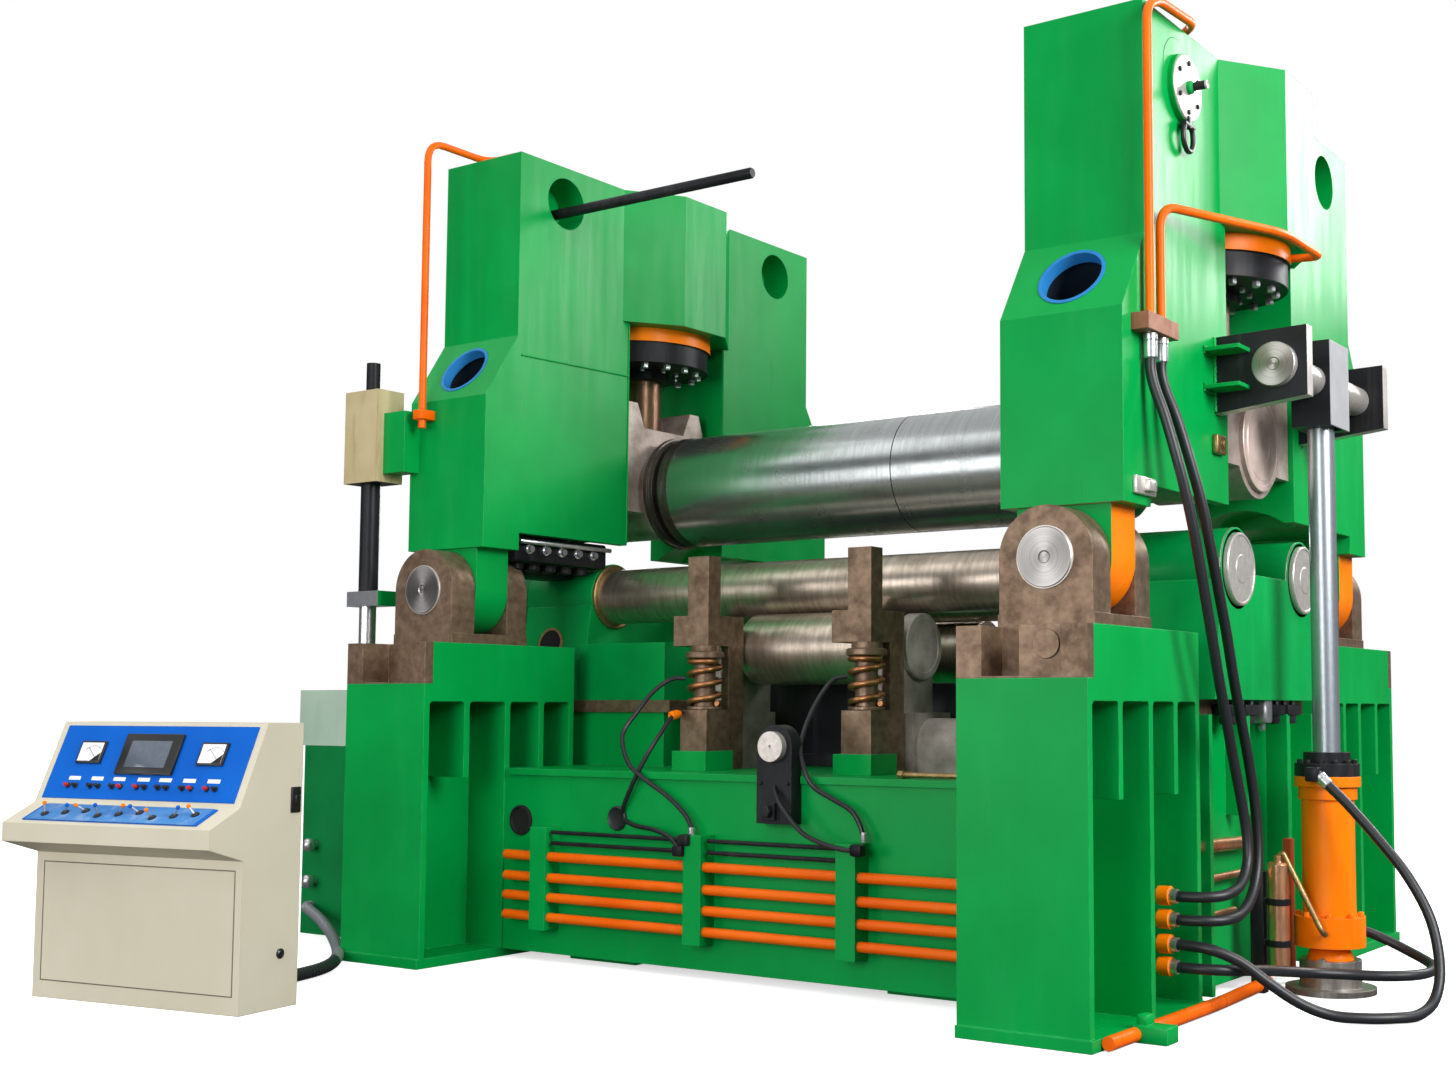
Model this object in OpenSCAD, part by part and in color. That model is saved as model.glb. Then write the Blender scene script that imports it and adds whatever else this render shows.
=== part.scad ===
// Plate rolling machine: three rolls between two end frames, the right frame hinged to
// drop outward, with its control console. Millimetres, +Z up, floor at z = 0.

/* [Main sizes] */
// room at each end of the roll barrel, up to the frame's inner side
end_room = 135; // [120:5:200]
// thickness of an end frame, measured along the rolls
frame_t = 640; // [620:10:660]
// height of the frame tops above the floor
frame_top = 4825; // [4700:25:5000]
// half width of the window that the chock slides in
window_half = 483; // [478:1:500]
// height of the hinge pins above the floor
pin_z = 2137; // [2127:5:2147]

/* [Rolls] */
// diameter of the top roll
top_roll_d = 720; // [660:10:740]
// diameter of each bottom roll
bottom_roll_d = 350; // [330:5:360]
// distance between the two bottom roll axes
bottom_pitch = 936; // [920:4:960]
// working length of the top roll
barrel_len = 3200; // [3000:20:3240]
// diameter of a support roller under a bottom roll
support_d = 420; // [380:10:430]

/* [Hinge and tilt cylinder] */
// diameter of the frame hinge pins
hinge_pin_d = 290; // [260:10:300]
// thickness of a hinge lug, along the pin
lug_t = 250; // [220:10:250]
// diameter of the chrome rod of the tilt cylinder
tilt_rod_d = 140; // [120:5:150]
// outer diameter of the tilt cylinder barrel
tilt_barrel_d = 270; // [250:5:280]

/* [Stands and bed] */
// height of the four stand tops above the floor
stand_top = 1820; // [1790:5:1840]
// height of the bed ledge
bed_top = 1096; // [1070:2:1100]
// thickness of the welded plates of the stands
plate_t = 40; // [30:2:50]

/* [Fits] */
// gap between a moving piece and its neighbour
gap = 5; // [4:0.5:6]
// gap round a pin or shaft that turns
pin_gap = 0.3; // [0.2:0.1:1]

/* [Hidden] */
$fn = 72;
fi = barrel_len / 2 + end_room;
fo = fi + frame_t;
fc = fi + frame_t / 2;
roll_z = 2877;
bot_z = 2164;
bot_y = bottom_pitch / 2;
sup_y = bot_y + 132;
sup_in = 235;
sup_z = bot_z - sqrt(pow((bottom_roll_d + support_d) / 2 + gap, 2) - 132 * 132);
// end frame outline
leg_y = 1730;
face_y = 1479;
leg_z = pin_z + 253;
foot_z = leg_z + 105;
house_z = 3955;
bulge = 240;
lug_y0 = 1455;
lug_r = 245;
ear_r = 240;
tilt_sweep_r = 440;
// chocks and rams
chock_in = 30;
chock_half = window_half - 8;
chock_r = 297;
neck_r = 225;
ram_r = 135;
travel = 260;
chock_top = 3180;
// bottom roll housings
house_r = 215;
house_in = 1850;
seat_in = 1150;
house_out = fo + 35;
house_bot = 1497;
seat_z = house_bot - 75;
bneck_r = 140;
// stands
sx0 = fi + 2;
sx1 = fo + 19;
sy0 = 2146;
sy1 = 947;
sym = 1503;
rail_z = stand_top - 236;
cap_z = rail_z - 100;
bay_r = 24;
pin_hole_r = hinge_pin_d / 2;
// tilt linkage
tx = fc + 645;
tz = pin_z + 1023;
ball_z = 150;
tbr = tilt_barrel_d / 2;
trr = tilt_rod_d / 2;
// console place
con_x = -2658;
con_y = -3834;
con_a = 9;
con_w = 1372;

green = [0.05, 0.6, 0.3];
orange = [0.95, 0.45, 0.1];
brown = [0.45, 0.33, 0.25];
steel = [0.75, 0.75, 0.76];
black = [0.12, 0.12, 0.13];

module bx(x0, x1, y0, y1, z0, z1) {
  translate([x0, y0, z0]) cube([x1 - x0, y1 - y0, z1 - z0]);
}
module xcyl(r, x0, x1, y, z) {
  translate([x0, y, z]) rotate([0, 90, 0]) cylinder(r = r, h = x1 - x0);
}
module ycyl(r, y0, y1, x, z) {
  translate([x, y0, z]) rotate([-90, 0, 0]) cylinder(r = r, h = y1 - y0);
}
module zcyl(r, z0, z1, x, y) {
  translate([x, y, z0]) cylinder(r = r, h = z1 - z0);
}
// side outline given as [y, z], carried along X
module yz_slab(pts, x0, x1) {
  translate([x0, 0, 0]) rotate([90, 0, 90]) linear_extrude(x1 - x0) polygon(pts);
}
// front outline given as [x, z], carried along Y
module xz_slab(pts, y0, y1) {
  translate([0, y1, 0]) rotate([90, 0, 0]) linear_extrude(y1 - y0) polygon(pts);
}
module front_rear() { children(); mirror([0, 1, 0]) children(); }
module left_of() { mirror([1, 0, 0]) children(); }
// round pipe along straight runs with ball elbows
module pipe_run(pts, r) {
  for (i = [0 : len(pts) - 2]) {
    d = pts[i + 1] - pts[i];
    l = norm(d);
    translate(pts[i]) rotate([0, acos(d[2] / l), atan2(d[1], d[0])]) cylinder(r = r, h = l, $fn = 24);
    if (i > 0) translate(pts[i]) rotate([40, 25, 0]) sphere(r = r + 4, $fn = 24);
  }
}
// hose: rings of ten points square to the route, joined into one closed skin
function unit(v) = v / norm(v);
function tang(p, i) = unit(p[min(i + 1, len(p) - 1)] - p[max(i - 1, 0)]);
module hose(p, r) {
  n = 10;
  m = len(p);
  ref = [0.31, 0.87, 0.38];
  pts = [for (i = [0 : m - 1]) let (t = tang(p, i), a = unit(cross(t, ref)), b = cross(t, a))
    for (k = [0 : n - 1]) p[i] + r * (cos(360 * k / n) * a + sin(360 * k / n) * b)];
  faces = concat(
    [[for (k = [0 : n - 1]) n - 1 - k]],
    [[for (k = [0 : n - 1]) (m - 1) * n + k]],
    [for (i = [0 : m - 2], k = [0 : n - 1])
      [i * n + k, i * n + (k + 1) % n, (i + 1) * n + (k + 1) % n, (i + 1) * n + k]]);
  polyhedron(points = pts, faces = faces);
}

// welded bed between the stands, with an end pier and housing seats on both ends
module bed() {
  color(green) union() {
    bx(-sx0, sx0, -1511, 1511, 45, bed_top);
    difference() {
      bx(-sx0 + 40, sx0 - 40, -1528, 1528, bed_top - 38, bed_top);
      bx(190, 425, -1540, -1511, bed_top - 40, bed_top + 1);
    }
    for (s = [-1, 1]) {
      bx(s > 0 ? seat_in : -fo + 125, s > 0 ? fo - 125 : -seat_in, -780, 780, 45, seat_z);
      for (y = [-760, -255, 330, 720])
        bx(s > 0 ? fo - 126 : -fo, s > 0 ? fo : -fo + 126, y - 20, y + 20, y == -255 ? 900 : 45, seat_z);
    }
    for (x = [-1, 1], y = [-1, 1])
      bx(x * 1100 - 250, x * 1100 + 250, y * 1200 - 150, y * 1200 + 150, 0, 60);
    bx(-300, 300, -300, 300, 0, 60);
  }
}

// rounded upper corners of one bay
rib_y = [-sy0 + plate_t / 2, -(sy0 + sym) / 2, -sym, -(sym + sy1) / 2, -sy1 - plate_t / 2];
module bay_top(ya, yb) {
  difference() {
    bx(sx0, sx1, ya - 1, yb + 1, cap_z - bay_r, cap_z + 1);
    xcyl(bay_r, sx0 - 1, sx1 + 1, ya + bay_r, cap_z - bay_r);
    xcyl(bay_r, sx0 - 1, sx1 + 1, yb - bay_r, cap_z - bay_r);
    bx(sx0 - 1, sx1 + 1, ya + bay_r, yb - bay_r, cap_z - bay_r - 1, cap_z);
  }
}
// one stand: foot, full plates, half ribs, web and cap
module stand() {
  union() {
    bx(sx0, sx1 + 16, -sy0 - 16, -sy1 + 16, 0, 54);
    bx(sx0, sx1, -sy0, -sy0 + plate_t, 53, rail_z);
    bx(sx0, sx1, -sym - plate_t / 2, -sym + plate_t / 2, 53, rail_z);
    bx(sx0, sx1, -sy1 - plate_t, -sy1, 53, rail_z);
    bx(fc - plate_t / 2, fc + plate_t / 2, -sy0 + 1, -sy1 - 1, 53, rail_z);
    bx(sx0, sx1, -sy0, -sy1, cap_z, rail_z);
    for (x = [sx0, sx1 - plate_t]) bx(x, x + plate_t, -sy0 + 60, -sy1, rail_z - 1, stand_top);
    for (i = [0 : 3]) bay_top(rib_y[i] + plate_t / 2, rib_y[i + 1] - plate_t / 2);
    for (y = [-(sy0 + sym) / 2, -(sym + sy1) / 2])
      bx(sx0, sx1, y - plate_t / 2, y + plate_t / 2, stand_top - 770, rail_z);
  }
}
module stands_right() { color(green) front_rear() stand(); }
module stands_left() { color(green) left_of() front_rear() stand(); }

// rail block on each stand with a deep pocket in its front, half filled by the shift rod end on the right
// side, and the housing slide plates
module rail_block(rod) {
  union() {
    difference() {
      union() {
        bx(sx0, sx1, -sy0, -sy0 + 60, rail_z, stand_top);
        bx(sx0 + plate_t, sx1 - plate_t, -sy0, -sy1, rail_z, stand_top);
      }
      bx(fc - 187, rod ? fc - 4 : fc + 208, -sy0 - 1, -sy0 + 190, rail_z + 10, stand_top + 1);
      if (rod) bx(fc - 5, fc + 208, -sy0 - 1, -sy0 + 14, rail_z + 10, stand_top + 1);
    }
    if (rod) ycyl(65, -sy0 + 2, -sy0 + 15, fc + 135, stand_top - 87);
  }
}
module rail_blocks() {
  color(brown) {
    front_rear() rail_block(true);
    left_of() front_rear() rail_block(false);
    bx(seat_in - 60, fo - 85, -800, 800, seat_z, house_bot);
    left_of() bx(seat_in - 60, fo - 85, -800, 800, seat_z, house_bot);
  }
}

// hinge clevis: base and two round ears
module ear(y0, y1) {
  bx(fc - ear_r, fc + ear_r, y0, y1, stand_top + 60, pin_z);
  ycyl(ear_r, y0, y1, fc, pin_z);
}
module clevis() {
  difference() {
    union() {
      bx(fc - ear_r - 8, fc + ear_r + 8, -1888, -1290, stand_top, stand_top + 61);
      ear(-1888, -lug_y0 - lug_t - gap);
      ear(-lug_y0 + gap, -1290);
    }
    ycyl(pin_hole_r, -1900, -1280, fc, pin_z);
  }
}
module clevises() {
  color(brown) { front_rear() clevis(); left_of() front_rear() clevis(); }
}
module hinge_pins() {
  color(steel) for (s = [-1, 1]) front_rear() ycyl(pin_hole_r, -1896, -1282, s * fc, pin_z);
}

// end frame: two wide columns joined over the window by the six-sided cylinder housing
module frame_body() {
  difference() {
    union() {
      yz_slab([[-leg_y, leg_z], [-1441, leg_z], [-1441, foot_z], [-window_half, foot_z],
        [-window_half, house_z], [window_half, house_z], [window_half, foot_z], [1441, foot_z],
        [1441, leg_z], [leg_y, leg_z], [leg_y, 3294], [face_y, 3690], [face_y, frame_top],
        [-face_y, frame_top], [-face_y, 3690], [-leg_y, 3294]], fi, fo);
      translate([fc, 0, house_z]) linear_extrude(frame_top - house_z) polygon([
        [-frame_t / 2, -549], [-frame_t / 2 - bulge, -215], [-frame_t / 2 - bulge, 215],
        [-frame_t / 2, 549], [frame_t / 2, 549], [frame_t / 2 + bulge, 215],
        [frame_t / 2 + bulge, -215], [frame_t / 2, -549]]);
      front_rear() {
        ycyl(lug_r, -lug_y0 - lug_t, -lug_y0, fc, pin_z);
        bx(fc - lug_r, fc + lug_r, -lug_y0 - lug_t, -lug_y0, pin_z, leg_z + 1);
      }
    }
    front_rear() {
      ycyl(pin_hole_r + pin_gap, -1800, -1400, fc, pin_z);
      xcyl(160, fi - 1, fi + 220, -1085, frame_top - 230);
      xcyl(160, fo - 220, fo + 1, -1085, frame_top - 230);
      translate([fc, -(leg_y + face_y) / 2, 3492]) rotate([57.6, 0, 0])
        translate([0, 0, -300]) cylinder(r = 172, h = 500);
    }
    ycyl(tilt_sweep_r, -760, 760, fc, pin_z);
    zcyl(ram_r + gap, house_z - 1, house_z + 0.86 * (frame_top - house_z), fc, 0);
  }
}
module frame_right() { color(green) frame_body(); }
module frame_left() { color(green) left_of() frame_body(); }

// orange ring and bolted black gland under the cylinder housing
module press_seat() {
  difference() {
    union() {
      zcyl(468, house_z - 90, house_z, fc, 0);
      zcyl(452, house_z - 225, house_z - 89, fc, 0);
      zcyl(190, house_z - 290, house_z - 224, fc, 0);
    }
    zcyl(ram_r + pin_gap, house_z - 300, house_z + 1, fc, 0);
  }
}
module press_seat_right() { color(orange) press_seat(); }
module press_seat_left() { color(orange) left_of() press_seat(); }

// chock: slides in the window, round below, closed by an end disc
module chock(bore) {
  difference() {
    union() {
      bx(fi + chock_in, fo - chock_in, -chock_half, chock_half, 2727, chock_top);
      xcyl(chock_r, fi + chock_in, fo - chock_in, 0, roll_z);
      xcyl(262, fo - chock_in - 1, fo - 5, 0, roll_z);
    }
    xcyl(bore, fi, fo - chock_in - 30, 0, roll_z);
  }
}
module chock_right() { color(steel) chock(252); }
module chock_left() {
  color(steel) left_of() difference() {
    union() {
      chock(neck_r + pin_gap);
      xcyl(290, fi - 65, fi + chock_in + 1, 0, roll_z);
    }
    xcyl(neck_r + pin_gap, fi - 66, fi + 100, 0, roll_z);
  }
}
// ram with the saddle that carries the chock
module ram() {
  union() {
    zcyl(ram_r, chock_top, house_z + 0.6 * (frame_top - house_z), fc, 0);
    yz_slab([[-430, chock_top], [430, chock_top], [430, chock_top + 90], [360, chock_top + 290],
      [270, chock_top + 290], [200, chock_top + 130], [-200, chock_top + 130], [-270, chock_top + 290],
      [-360, chock_top + 290], [-430, chock_top + 90]], fc - 210, fc + 210);
  }
}
module ram_right() { color(steel) ram(); }
module ram_left() { color(steel) left_of() ram(); }

// top roll: straight neck on the left, tapered drop end neck on the right
module top_roll() {
  b = barrel_len / 2;
  color(steel) translate([0, 0, roll_z]) rotate([0, 90, 0]) rotate_extrude() polygon([
    [0, -fo + chock_in + 50], [neck_r, -fo + chock_in + 50], [neck_r, -b - 60], [neck_r + 60, -b - 60],
    [neck_r + 60, -b], [top_roll_d / 2 - 15, -b], [top_roll_d / 2, -b + 15], [top_roll_d / 2, b - 15],
    [top_roll_d / 2 - 15, b], [neck_r + 60, b], [neck_r + 60, b + 60], [neck_r, b + 60],
    [neck_r, fi + chock_in - 10], [150, fc], [115, fc + 130], [0, fc + 130]]);
}

module bottom_roll(y) {
  b = house_in - gap;
  color(steel) translate([0, y, bot_z]) rotate([0, 90, 0]) rotate_extrude() polygon([
    [0, -house_out + 45], [bneck_r, -house_out + 45], [bneck_r, -b], [bottom_roll_d / 2, -b],
    [bottom_roll_d / 2, b], [bneck_r, b], [bneck_r, house_out - 45], [0, house_out - 45]]);
}
module bottom_roll_front() { bottom_roll(-bot_y); }
module bottom_roll_rear() { bottom_roll(bot_y); }

// bearing housing for both bottom rolls of one end
module housing() {
  difference() {
    union() {
      yz_slab([[-780, house_bot], [780, house_bot], [bot_y + house_r - 4, 2100], [bot_y + 100, bot_z],
        [bot_y - 190, 2150], [-bot_y + 190, 2150], [-bot_y - 100, bot_z], [-bot_y - house_r + 4, 2100]],
        house_in, house_out);
      front_rear() xcyl(house_r, house_in, house_out, -bot_y, bot_z);
      bx(seat_in, house_in + 1, -780, 780, house_bot, 1850);
    }
    front_rear() xcyl(bneck_r + pin_gap, house_in - 1, house_out + 1, -bot_y, bot_z);
  }
}
module housing_right() { color(green) housing(); }
module housing_left() { color(green) left_of() housing(); }
module bearing_covers() {
  color(steel) for (s = [-1, 1]) front_rear()
    xcyl(188, s > 0 ? house_out : -house_out - 22, s > 0 ? house_out + 22 : -house_out, -bot_y, bot_z);
}

// support roller on its shaft, carried by two cast brackets
module support_roller(y) {
  color(brown) translate([0, y, sup_z]) rotate([0, 90, 0]) rotate_extrude() polygon([
    [0, -780], [70, -780], [70, -560], [support_d / 2 - 8, -560], [support_d / 2, -552],
    [support_d / 2, 552 - sup_in], [support_d / 2 - 8, 560 - sup_in], [70, 560 - sup_in], [70, 780 - sup_in],
    [0, 780 - sup_in]]);
}
module support_roller_front() { support_roller(-sup_y); }
module support_roller_rear() { support_roller(sup_y); }
module support_bracket() {
  difference() {
    union() {
      xcyl(150, 590, 800, -sup_y, sup_z);
      bx(590, 800, -sup_y - 150, -sup_y + 150, bed_top, sup_z);
      bx(575, 900, -sup_y - 210, -sup_y + 180, bed_top, bed_top + 330);
      xcyl(188, 760, 835, -sup_y, sup_z);
    }
    xcyl(70 + pin_gap, 560, 790, -sup_y, sup_z);
  }
}
// the right brackets stand further in, each with a round wedge case beside its foot
module support_brackets() {
  color(steel) {
    front_rear() union() {
      translate([-sup_in, 0, 0]) support_bracket();
      xcyl(150, 560, 960, -sup_y - 20, bed_top + 150);
      bx(560, 960, -sup_y - 170, -sup_y + 130, bed_top, bed_top + 150);
    }
    left_of() front_rear() support_bracket();
  }
}

// guide column: foot block, spring post, head block and bar
module guide_column(x) {
  bx(x - 96, x + 96, -1200, -990, bed_top, 1438);
  bx(x - 122, x + 122, -1240, -990, bed_top, bed_top + 110);
  zcyl(62, 1437, 1807, x, -1100);
  bx(x - 195, x + 62, -1150, -822, 1806, 1980);
  bx(x + 8, x + 62, -960, -822, bed_top, 1807);
  bx(x - 90, x + 62, -1150, -1040, 1979, 2319);
}
module guide_columns() {
  color(brown) front_rear() for (x = [-570, 550]) union() { guide_column(x); }
}
module column_springs() {
  color([0.6, 0.35, 0.2]) front_rear() for (x = [-570, 550]) difference() {
    zcyl(104, 1438, 1806, x, -1100);
    zcyl(64, 1430, 1810, x, -1100);
  }
}
module centre_bracket() {
  color(black) difference() {
    union() {
      bx(195, 420, -1601, -1511, 850, 1250);
      ycyl(112.5, -1601, -1511, 307.5, 1250);
      ycyl(79, -1640, -1600, 307.5, 1250);
      bx(230, 330, -1625, -1600, 870, 960);
    }
    ycyl(8, -1700, -1630, 307.5, 1250);
  }
}

// pipe racks and the four orange pipes along the bed
rack_x = [-1350, -215, 780];
rack_z = [603, 484, 373, 261];
module pipe_racks() {
  color(green) for (x = rack_x) difference() {
    bx(x - 60, x + 60, -1631, -1511, 190, 770);
    for (z = rack_z) xcyl(27, x - 61, x + 61, -1590, z);
  }
}
module bed_pipes() {
  color(orange) for (z = rack_z) xcyl(27, -fi + 95, fi - 45, -1590, z);
}

module hose_couplings() {
  color(orange) for (z = [566, 456, 340, 235]) union() {
    xcyl(34, fc + plate_t / 2, fo - 15, -1150, z);
    xcyl(46, fo - 110, fo - 50, -1150, z);
  }
}

// balance unit on the outer side of the left frame
module balance_unit() {
  color([0.75, 0.68, 0.55]) union() {
    bx(-fo - 400, -fo - 105, -1900, -1700, 2810, 3375);
    bx(-fo - 106, -fo + 80, -1850, -1731, 2860, 3230);
    zcyl(42, 3374, 3560, -fo - 270, -1800);
    zcyl(58, 2150, 2811, -fo - 270, -1800);
    bx(-fo - 380, -fo - 100, -1870, -1730, 2060, 2151);
    zcyl(50, 1500, 2061, -fo - 270, -1800);
    bx(-fo - 350, -sx1, -1870, -1730, 1400, 1501);
  }
}

// orange pipe over the left frame and the black bar out of its front hole
module pipes_left() {
  color(orange) {
    pipe_run([[-fi - 215, -1300, frame_top], [-fi - 215, -1300, frame_top + 60],
      [-fi - 465, -1300, frame_top + 60], [-fi - 465, -1800, frame_top + 60], [-fi - 465, -1800, 3120]], 22);
    bx(-fi - 505, -fi - 425, -1840, -leg_y, 3170, 3230);
    xcyl(32, -fi - 220, -245, -1110, frame_top - 295);
  }
}

module drive_unit() {
  color(green) union() {
    bx(-fo - 1205, -fo - 325, -1500, 640, 0, 1203);
    bx(-fo - 1265, -fo - 425, -1500, -760, 1203, 1560);
    bx(-fo - 875, -fo - 275, -560, 560, 1202, 1550);
    for (s = [-1, 1]) xcyl(190, -fo - 875, -house_out - 22, s * bot_y, bot_z);
    for (s = [-1, 1]) bx(-fo - 775, -fo - 225, s * bot_y - 150, s * bot_y + 150, 1540, bot_z - 100);
  }
}

// console: cabinet with a desk shelf and a raised back
module console_place() { translate([con_x, con_y, 0]) rotate([0, 0, con_a]) children(); }
con_side = [[0, 0], [378, 0], [378, 1372], [142, 1372], [-28, 972], [-210, 880], [-210, 788], [0, 722]];
module console_body() {
  color([0.85, 0.82, 0.7]) console_place() yz_slab(con_side, 0, con_w);
}
module console_panel() {
  color([0.1, 0.3, 0.65]) console_place() {
    translate([45, -28, 972]) rotate([atan2(400, 170), 0, 0])
      translate([0, 22, 0.3]) cube([con_w - 90, 390, 7]);
    translate([45, -210, 880]) rotate([atan2(92, 182), 0, 0])
      translate([65, 28, 0.3]) cube([con_w - 220, 148, 7]);
  }
}

// floor cup that the ball end of the tilt cylinder stands in
module cylinder_cup() {
  color(steel) translate([tx, 0, 0]) difference() {
    union() { cylinder(r = 157, h = 168); cylinder(r = 230, h = 30); }
    translate([0, 0, ball_z]) sphere(r = 121);
  }
  color(steel) ycyl(30, -140, 140, tx, ball_z);
}
module tilt_barrel() {
  color(orange) translate([tx, 0, 0]) difference() {
    union() {
      translate([0, 0, ball_z]) sphere(r = 120);
      cylinder_from(85, ball_z, 240);
      cylinder_from(180, 235, 389);
      cylinder_from(tbr, 388, 1035);
      cylinder_from(tbr + 15, 985, 1050);
    }
    cylinder_from(trr + 30, 265, 1051);
    ycyl(30 + pin_gap, -200, 200, 0, ball_z);
  }
}
module cylinder_from(r, z0, z1) { translate([0, 0, z0]) cylinder(r = r, h = z1 - z0); }
module tilt_gland() {
  color(black) translate([tx, 0, 0]) difference() {
    union() { cylinder_from(165, 1050, 1170); cylinder_from(120, 1169, 1228); }
    cylinder_from(trr + pin_gap, 1049, 1229);
  }
}
module tilt_rod() {
  color(steel) translate([tx, 0, 0]) rotate_extrude() polygon([[0, 1000], [trr + 25, 1000],
    [trr + 25, 1040], [trr, 1040], [trr, 3030], [0, 3030]]);
}
module tilt_block() {
  color(black) difference() {
    bx(tx - 105, tx + 105, -150, 150, 2922, 3370);
    ycyl(80 + pin_gap, -151, 151, tx, tz);
    bx(tx - trr - 24, tx + trr + 24, -trr - 8, trr + 8, 2900, 3055);
  }
}
module tilt_plates() {
  color(black) front_rear() difference() {
    union() {
      xz_slab([[fo, 2943], [fo + 485, 2997], [fo + 485, 3348], [fo, 3336]], -650, -570);
      bx(fo, fo + 190, -800, -649, 3050, 3070);
      bx(fo, fo + 190, -800, -649, 3240, 3260);
    }
    ycyl(80, -660, -560, tx, tz);
  }
}
module tilt_pin() {
  color(steel) union() {
    ycyl(80, -662, 662, tx, tz);
    front_rear() ycyl(112, -690, -650, tx, tz);
  }
}

// orange pipes down the front corner of the right frame
module pipes_right() {
  color(orange) {
    pipe_run([[fo, -1230, 4760], [fo + 45, -1230, 4760], [fo + 45, -1400, 4900], [fo + 45, -1525, 4830],
      [fo + 45, -1525, 3272]], 22);
    pipe_run([[fc + 439, 163, house_z - 45], [fo + 270, 217, house_z - 45], [fo + 270, -330, house_z - 45],
      [fo + 45, -1403, house_z - 125], [fo + 45, -1403, 3272]], 22);
  }
}
module manifold() {
  color(brown) union() {
    bx(fo, fo + 90, -1640, -1300, 3192, 3272);
    for (y = [-1525, -1403]) zcyl(30, 3095, 3193, fo + 45, y);
  }
}

// hoses: routes by hand
hose_r = 26;
route_a = [[fo + 45, -1525, 3095], [fo + 45, -1525, 3020], [fo + 65, -1525, 2930], [fo + 110, -1520, 2800],
  [fo + 160, -1500, 2600],
  [fo + 190, -1450, 2400], [fo + 205, -1390, 2200], [fo + 210, -1320, 2000], [fo + 210, -1240, 1800],
  [fo + 205, -1150, 1600], [fo + 200, -1050, 1400], [fo + 190, -950, 1200], [fo + 180, -870, 1000],
  [fo + 165, -850, 830], [fo + 145, -900, 690], [fo + 120, -980, 615], [fo + 90, -1060, 580],
  [fo + 45, -1130, 567], [fo + 15, -1150, 566], [fo - 15, -1150, 566]];
route_b = [[fo + 45, -1403, 3095], [fo + 45, -1403, 3020], [fo + 68, -1402, 2930], [fo + 115, -1390, 2800],
  [fo + 165, -1360, 2600],
  [fo + 200, -1310, 2400], [fo + 215, -1250, 2200], [fo + 220, -1170, 2000], [fo + 220, -1080, 1800],
  [fo + 215, -990, 1600], [fo + 210, -890, 1400], [fo + 205, -800, 1200], [fo + 195, -740, 1000],
  [fo + 185, -730, 820], [fo + 170, -780, 660], [fo + 150, -870, 550], [fo + 115, -980, 485],
  [fo + 60, -1100, 458], [fo + 15, -1150, 456], [fo - 15, -1150, 456]];
module hoses_tilt() { color(black) { hose(route_a, hose_r); hose(route_b, hose_r); } }
route_c = [[fo - 15, -1150, 340], [fo + 20, -1150, 340], [tx - 180, -1140, 328], [tx - 60, -1085, 275],
  [tx + 60, -1030, 180], [tx + 180, -960, 90], [tx + 300, -890, 38], [tx + 430, -830, 28],
  [tx + 550, -740, 28], [tx + 630, -620, 34], [tx + 665, -480, 90], [tx + 665, -390, 230],
  [tx + 610, -330, 440], [tx + 490, -290, 640], [tx + 350, -260, 800], [tx + 200, -240, 960],
  [tx + 90, -240, 1060], [tx + 25, -240, 1106], [tx, -215, 1110], [tx, -165.4, 1110]];
route_d = [[fo - 15, -1150, 235], [fo + 20, -1150, 235], [tx - 180, -1110, 232], [tx - 100, -900, 215],
  [tx - 40, -650, 180], [tx + 40, -430, 150], [tx + 200, -320, 143], [tx + 360, -250, 140],
  [tx + 480, -120, 140], [tx + 510, 30, 145], [tx + 460, 170, 160], [tx + 330, 260, 195],
  [tx + 180, 290, 245], [tx + 70, 275, 290], [tx, 235, 312], [tx, 180.4, 312]];
module hoses_floor() { color(black) { hose(route_c, hose_r); hose(route_d, hose_r); } }

bed();
stands_left();
stands_right();
rail_blocks();
clevises();
hinge_pins();
frame_left();
press_seat_left();
housing_left();
housing_right();
bearing_covers();
support_brackets();
guide_columns();
column_springs();
centre_bracket();
pipe_racks();
bed_pipes();
hose_couplings();
balance_unit();
pipes_left();
drive_unit();
console_body();
console_panel();
cylinder_cup();
frame_right();
tilt_plates();
tilt_pin();
press_seat_right();
pipes_right();
manifold();
chock_left();
ram_left();
chock_right();
ram_right();
top_roll();
bottom_roll_front();
bottom_roll_rear();
support_roller_front();
support_roller_rear();
tilt_barrel();
tilt_gland();
tilt_rod();
tilt_block();
hoses_tilt();
hoses_floor();
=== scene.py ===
import math

import bpy
import numpy as np
from mathutils import Matrix, Vector


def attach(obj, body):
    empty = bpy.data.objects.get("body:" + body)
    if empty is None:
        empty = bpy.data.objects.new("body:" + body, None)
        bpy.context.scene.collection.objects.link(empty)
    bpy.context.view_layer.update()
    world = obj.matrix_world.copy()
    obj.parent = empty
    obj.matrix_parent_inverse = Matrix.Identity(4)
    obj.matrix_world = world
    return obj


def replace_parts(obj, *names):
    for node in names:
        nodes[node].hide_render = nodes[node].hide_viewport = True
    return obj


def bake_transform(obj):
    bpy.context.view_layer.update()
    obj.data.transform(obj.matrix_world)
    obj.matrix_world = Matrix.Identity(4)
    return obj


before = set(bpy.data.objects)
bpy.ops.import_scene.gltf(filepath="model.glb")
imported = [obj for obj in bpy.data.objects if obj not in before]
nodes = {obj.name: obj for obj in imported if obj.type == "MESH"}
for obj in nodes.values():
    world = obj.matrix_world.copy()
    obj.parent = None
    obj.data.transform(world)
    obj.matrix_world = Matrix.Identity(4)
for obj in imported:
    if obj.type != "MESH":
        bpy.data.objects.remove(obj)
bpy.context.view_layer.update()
scene = bpy.context.scene
print("frame loaded:", len(nodes), "pieces")

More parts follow.
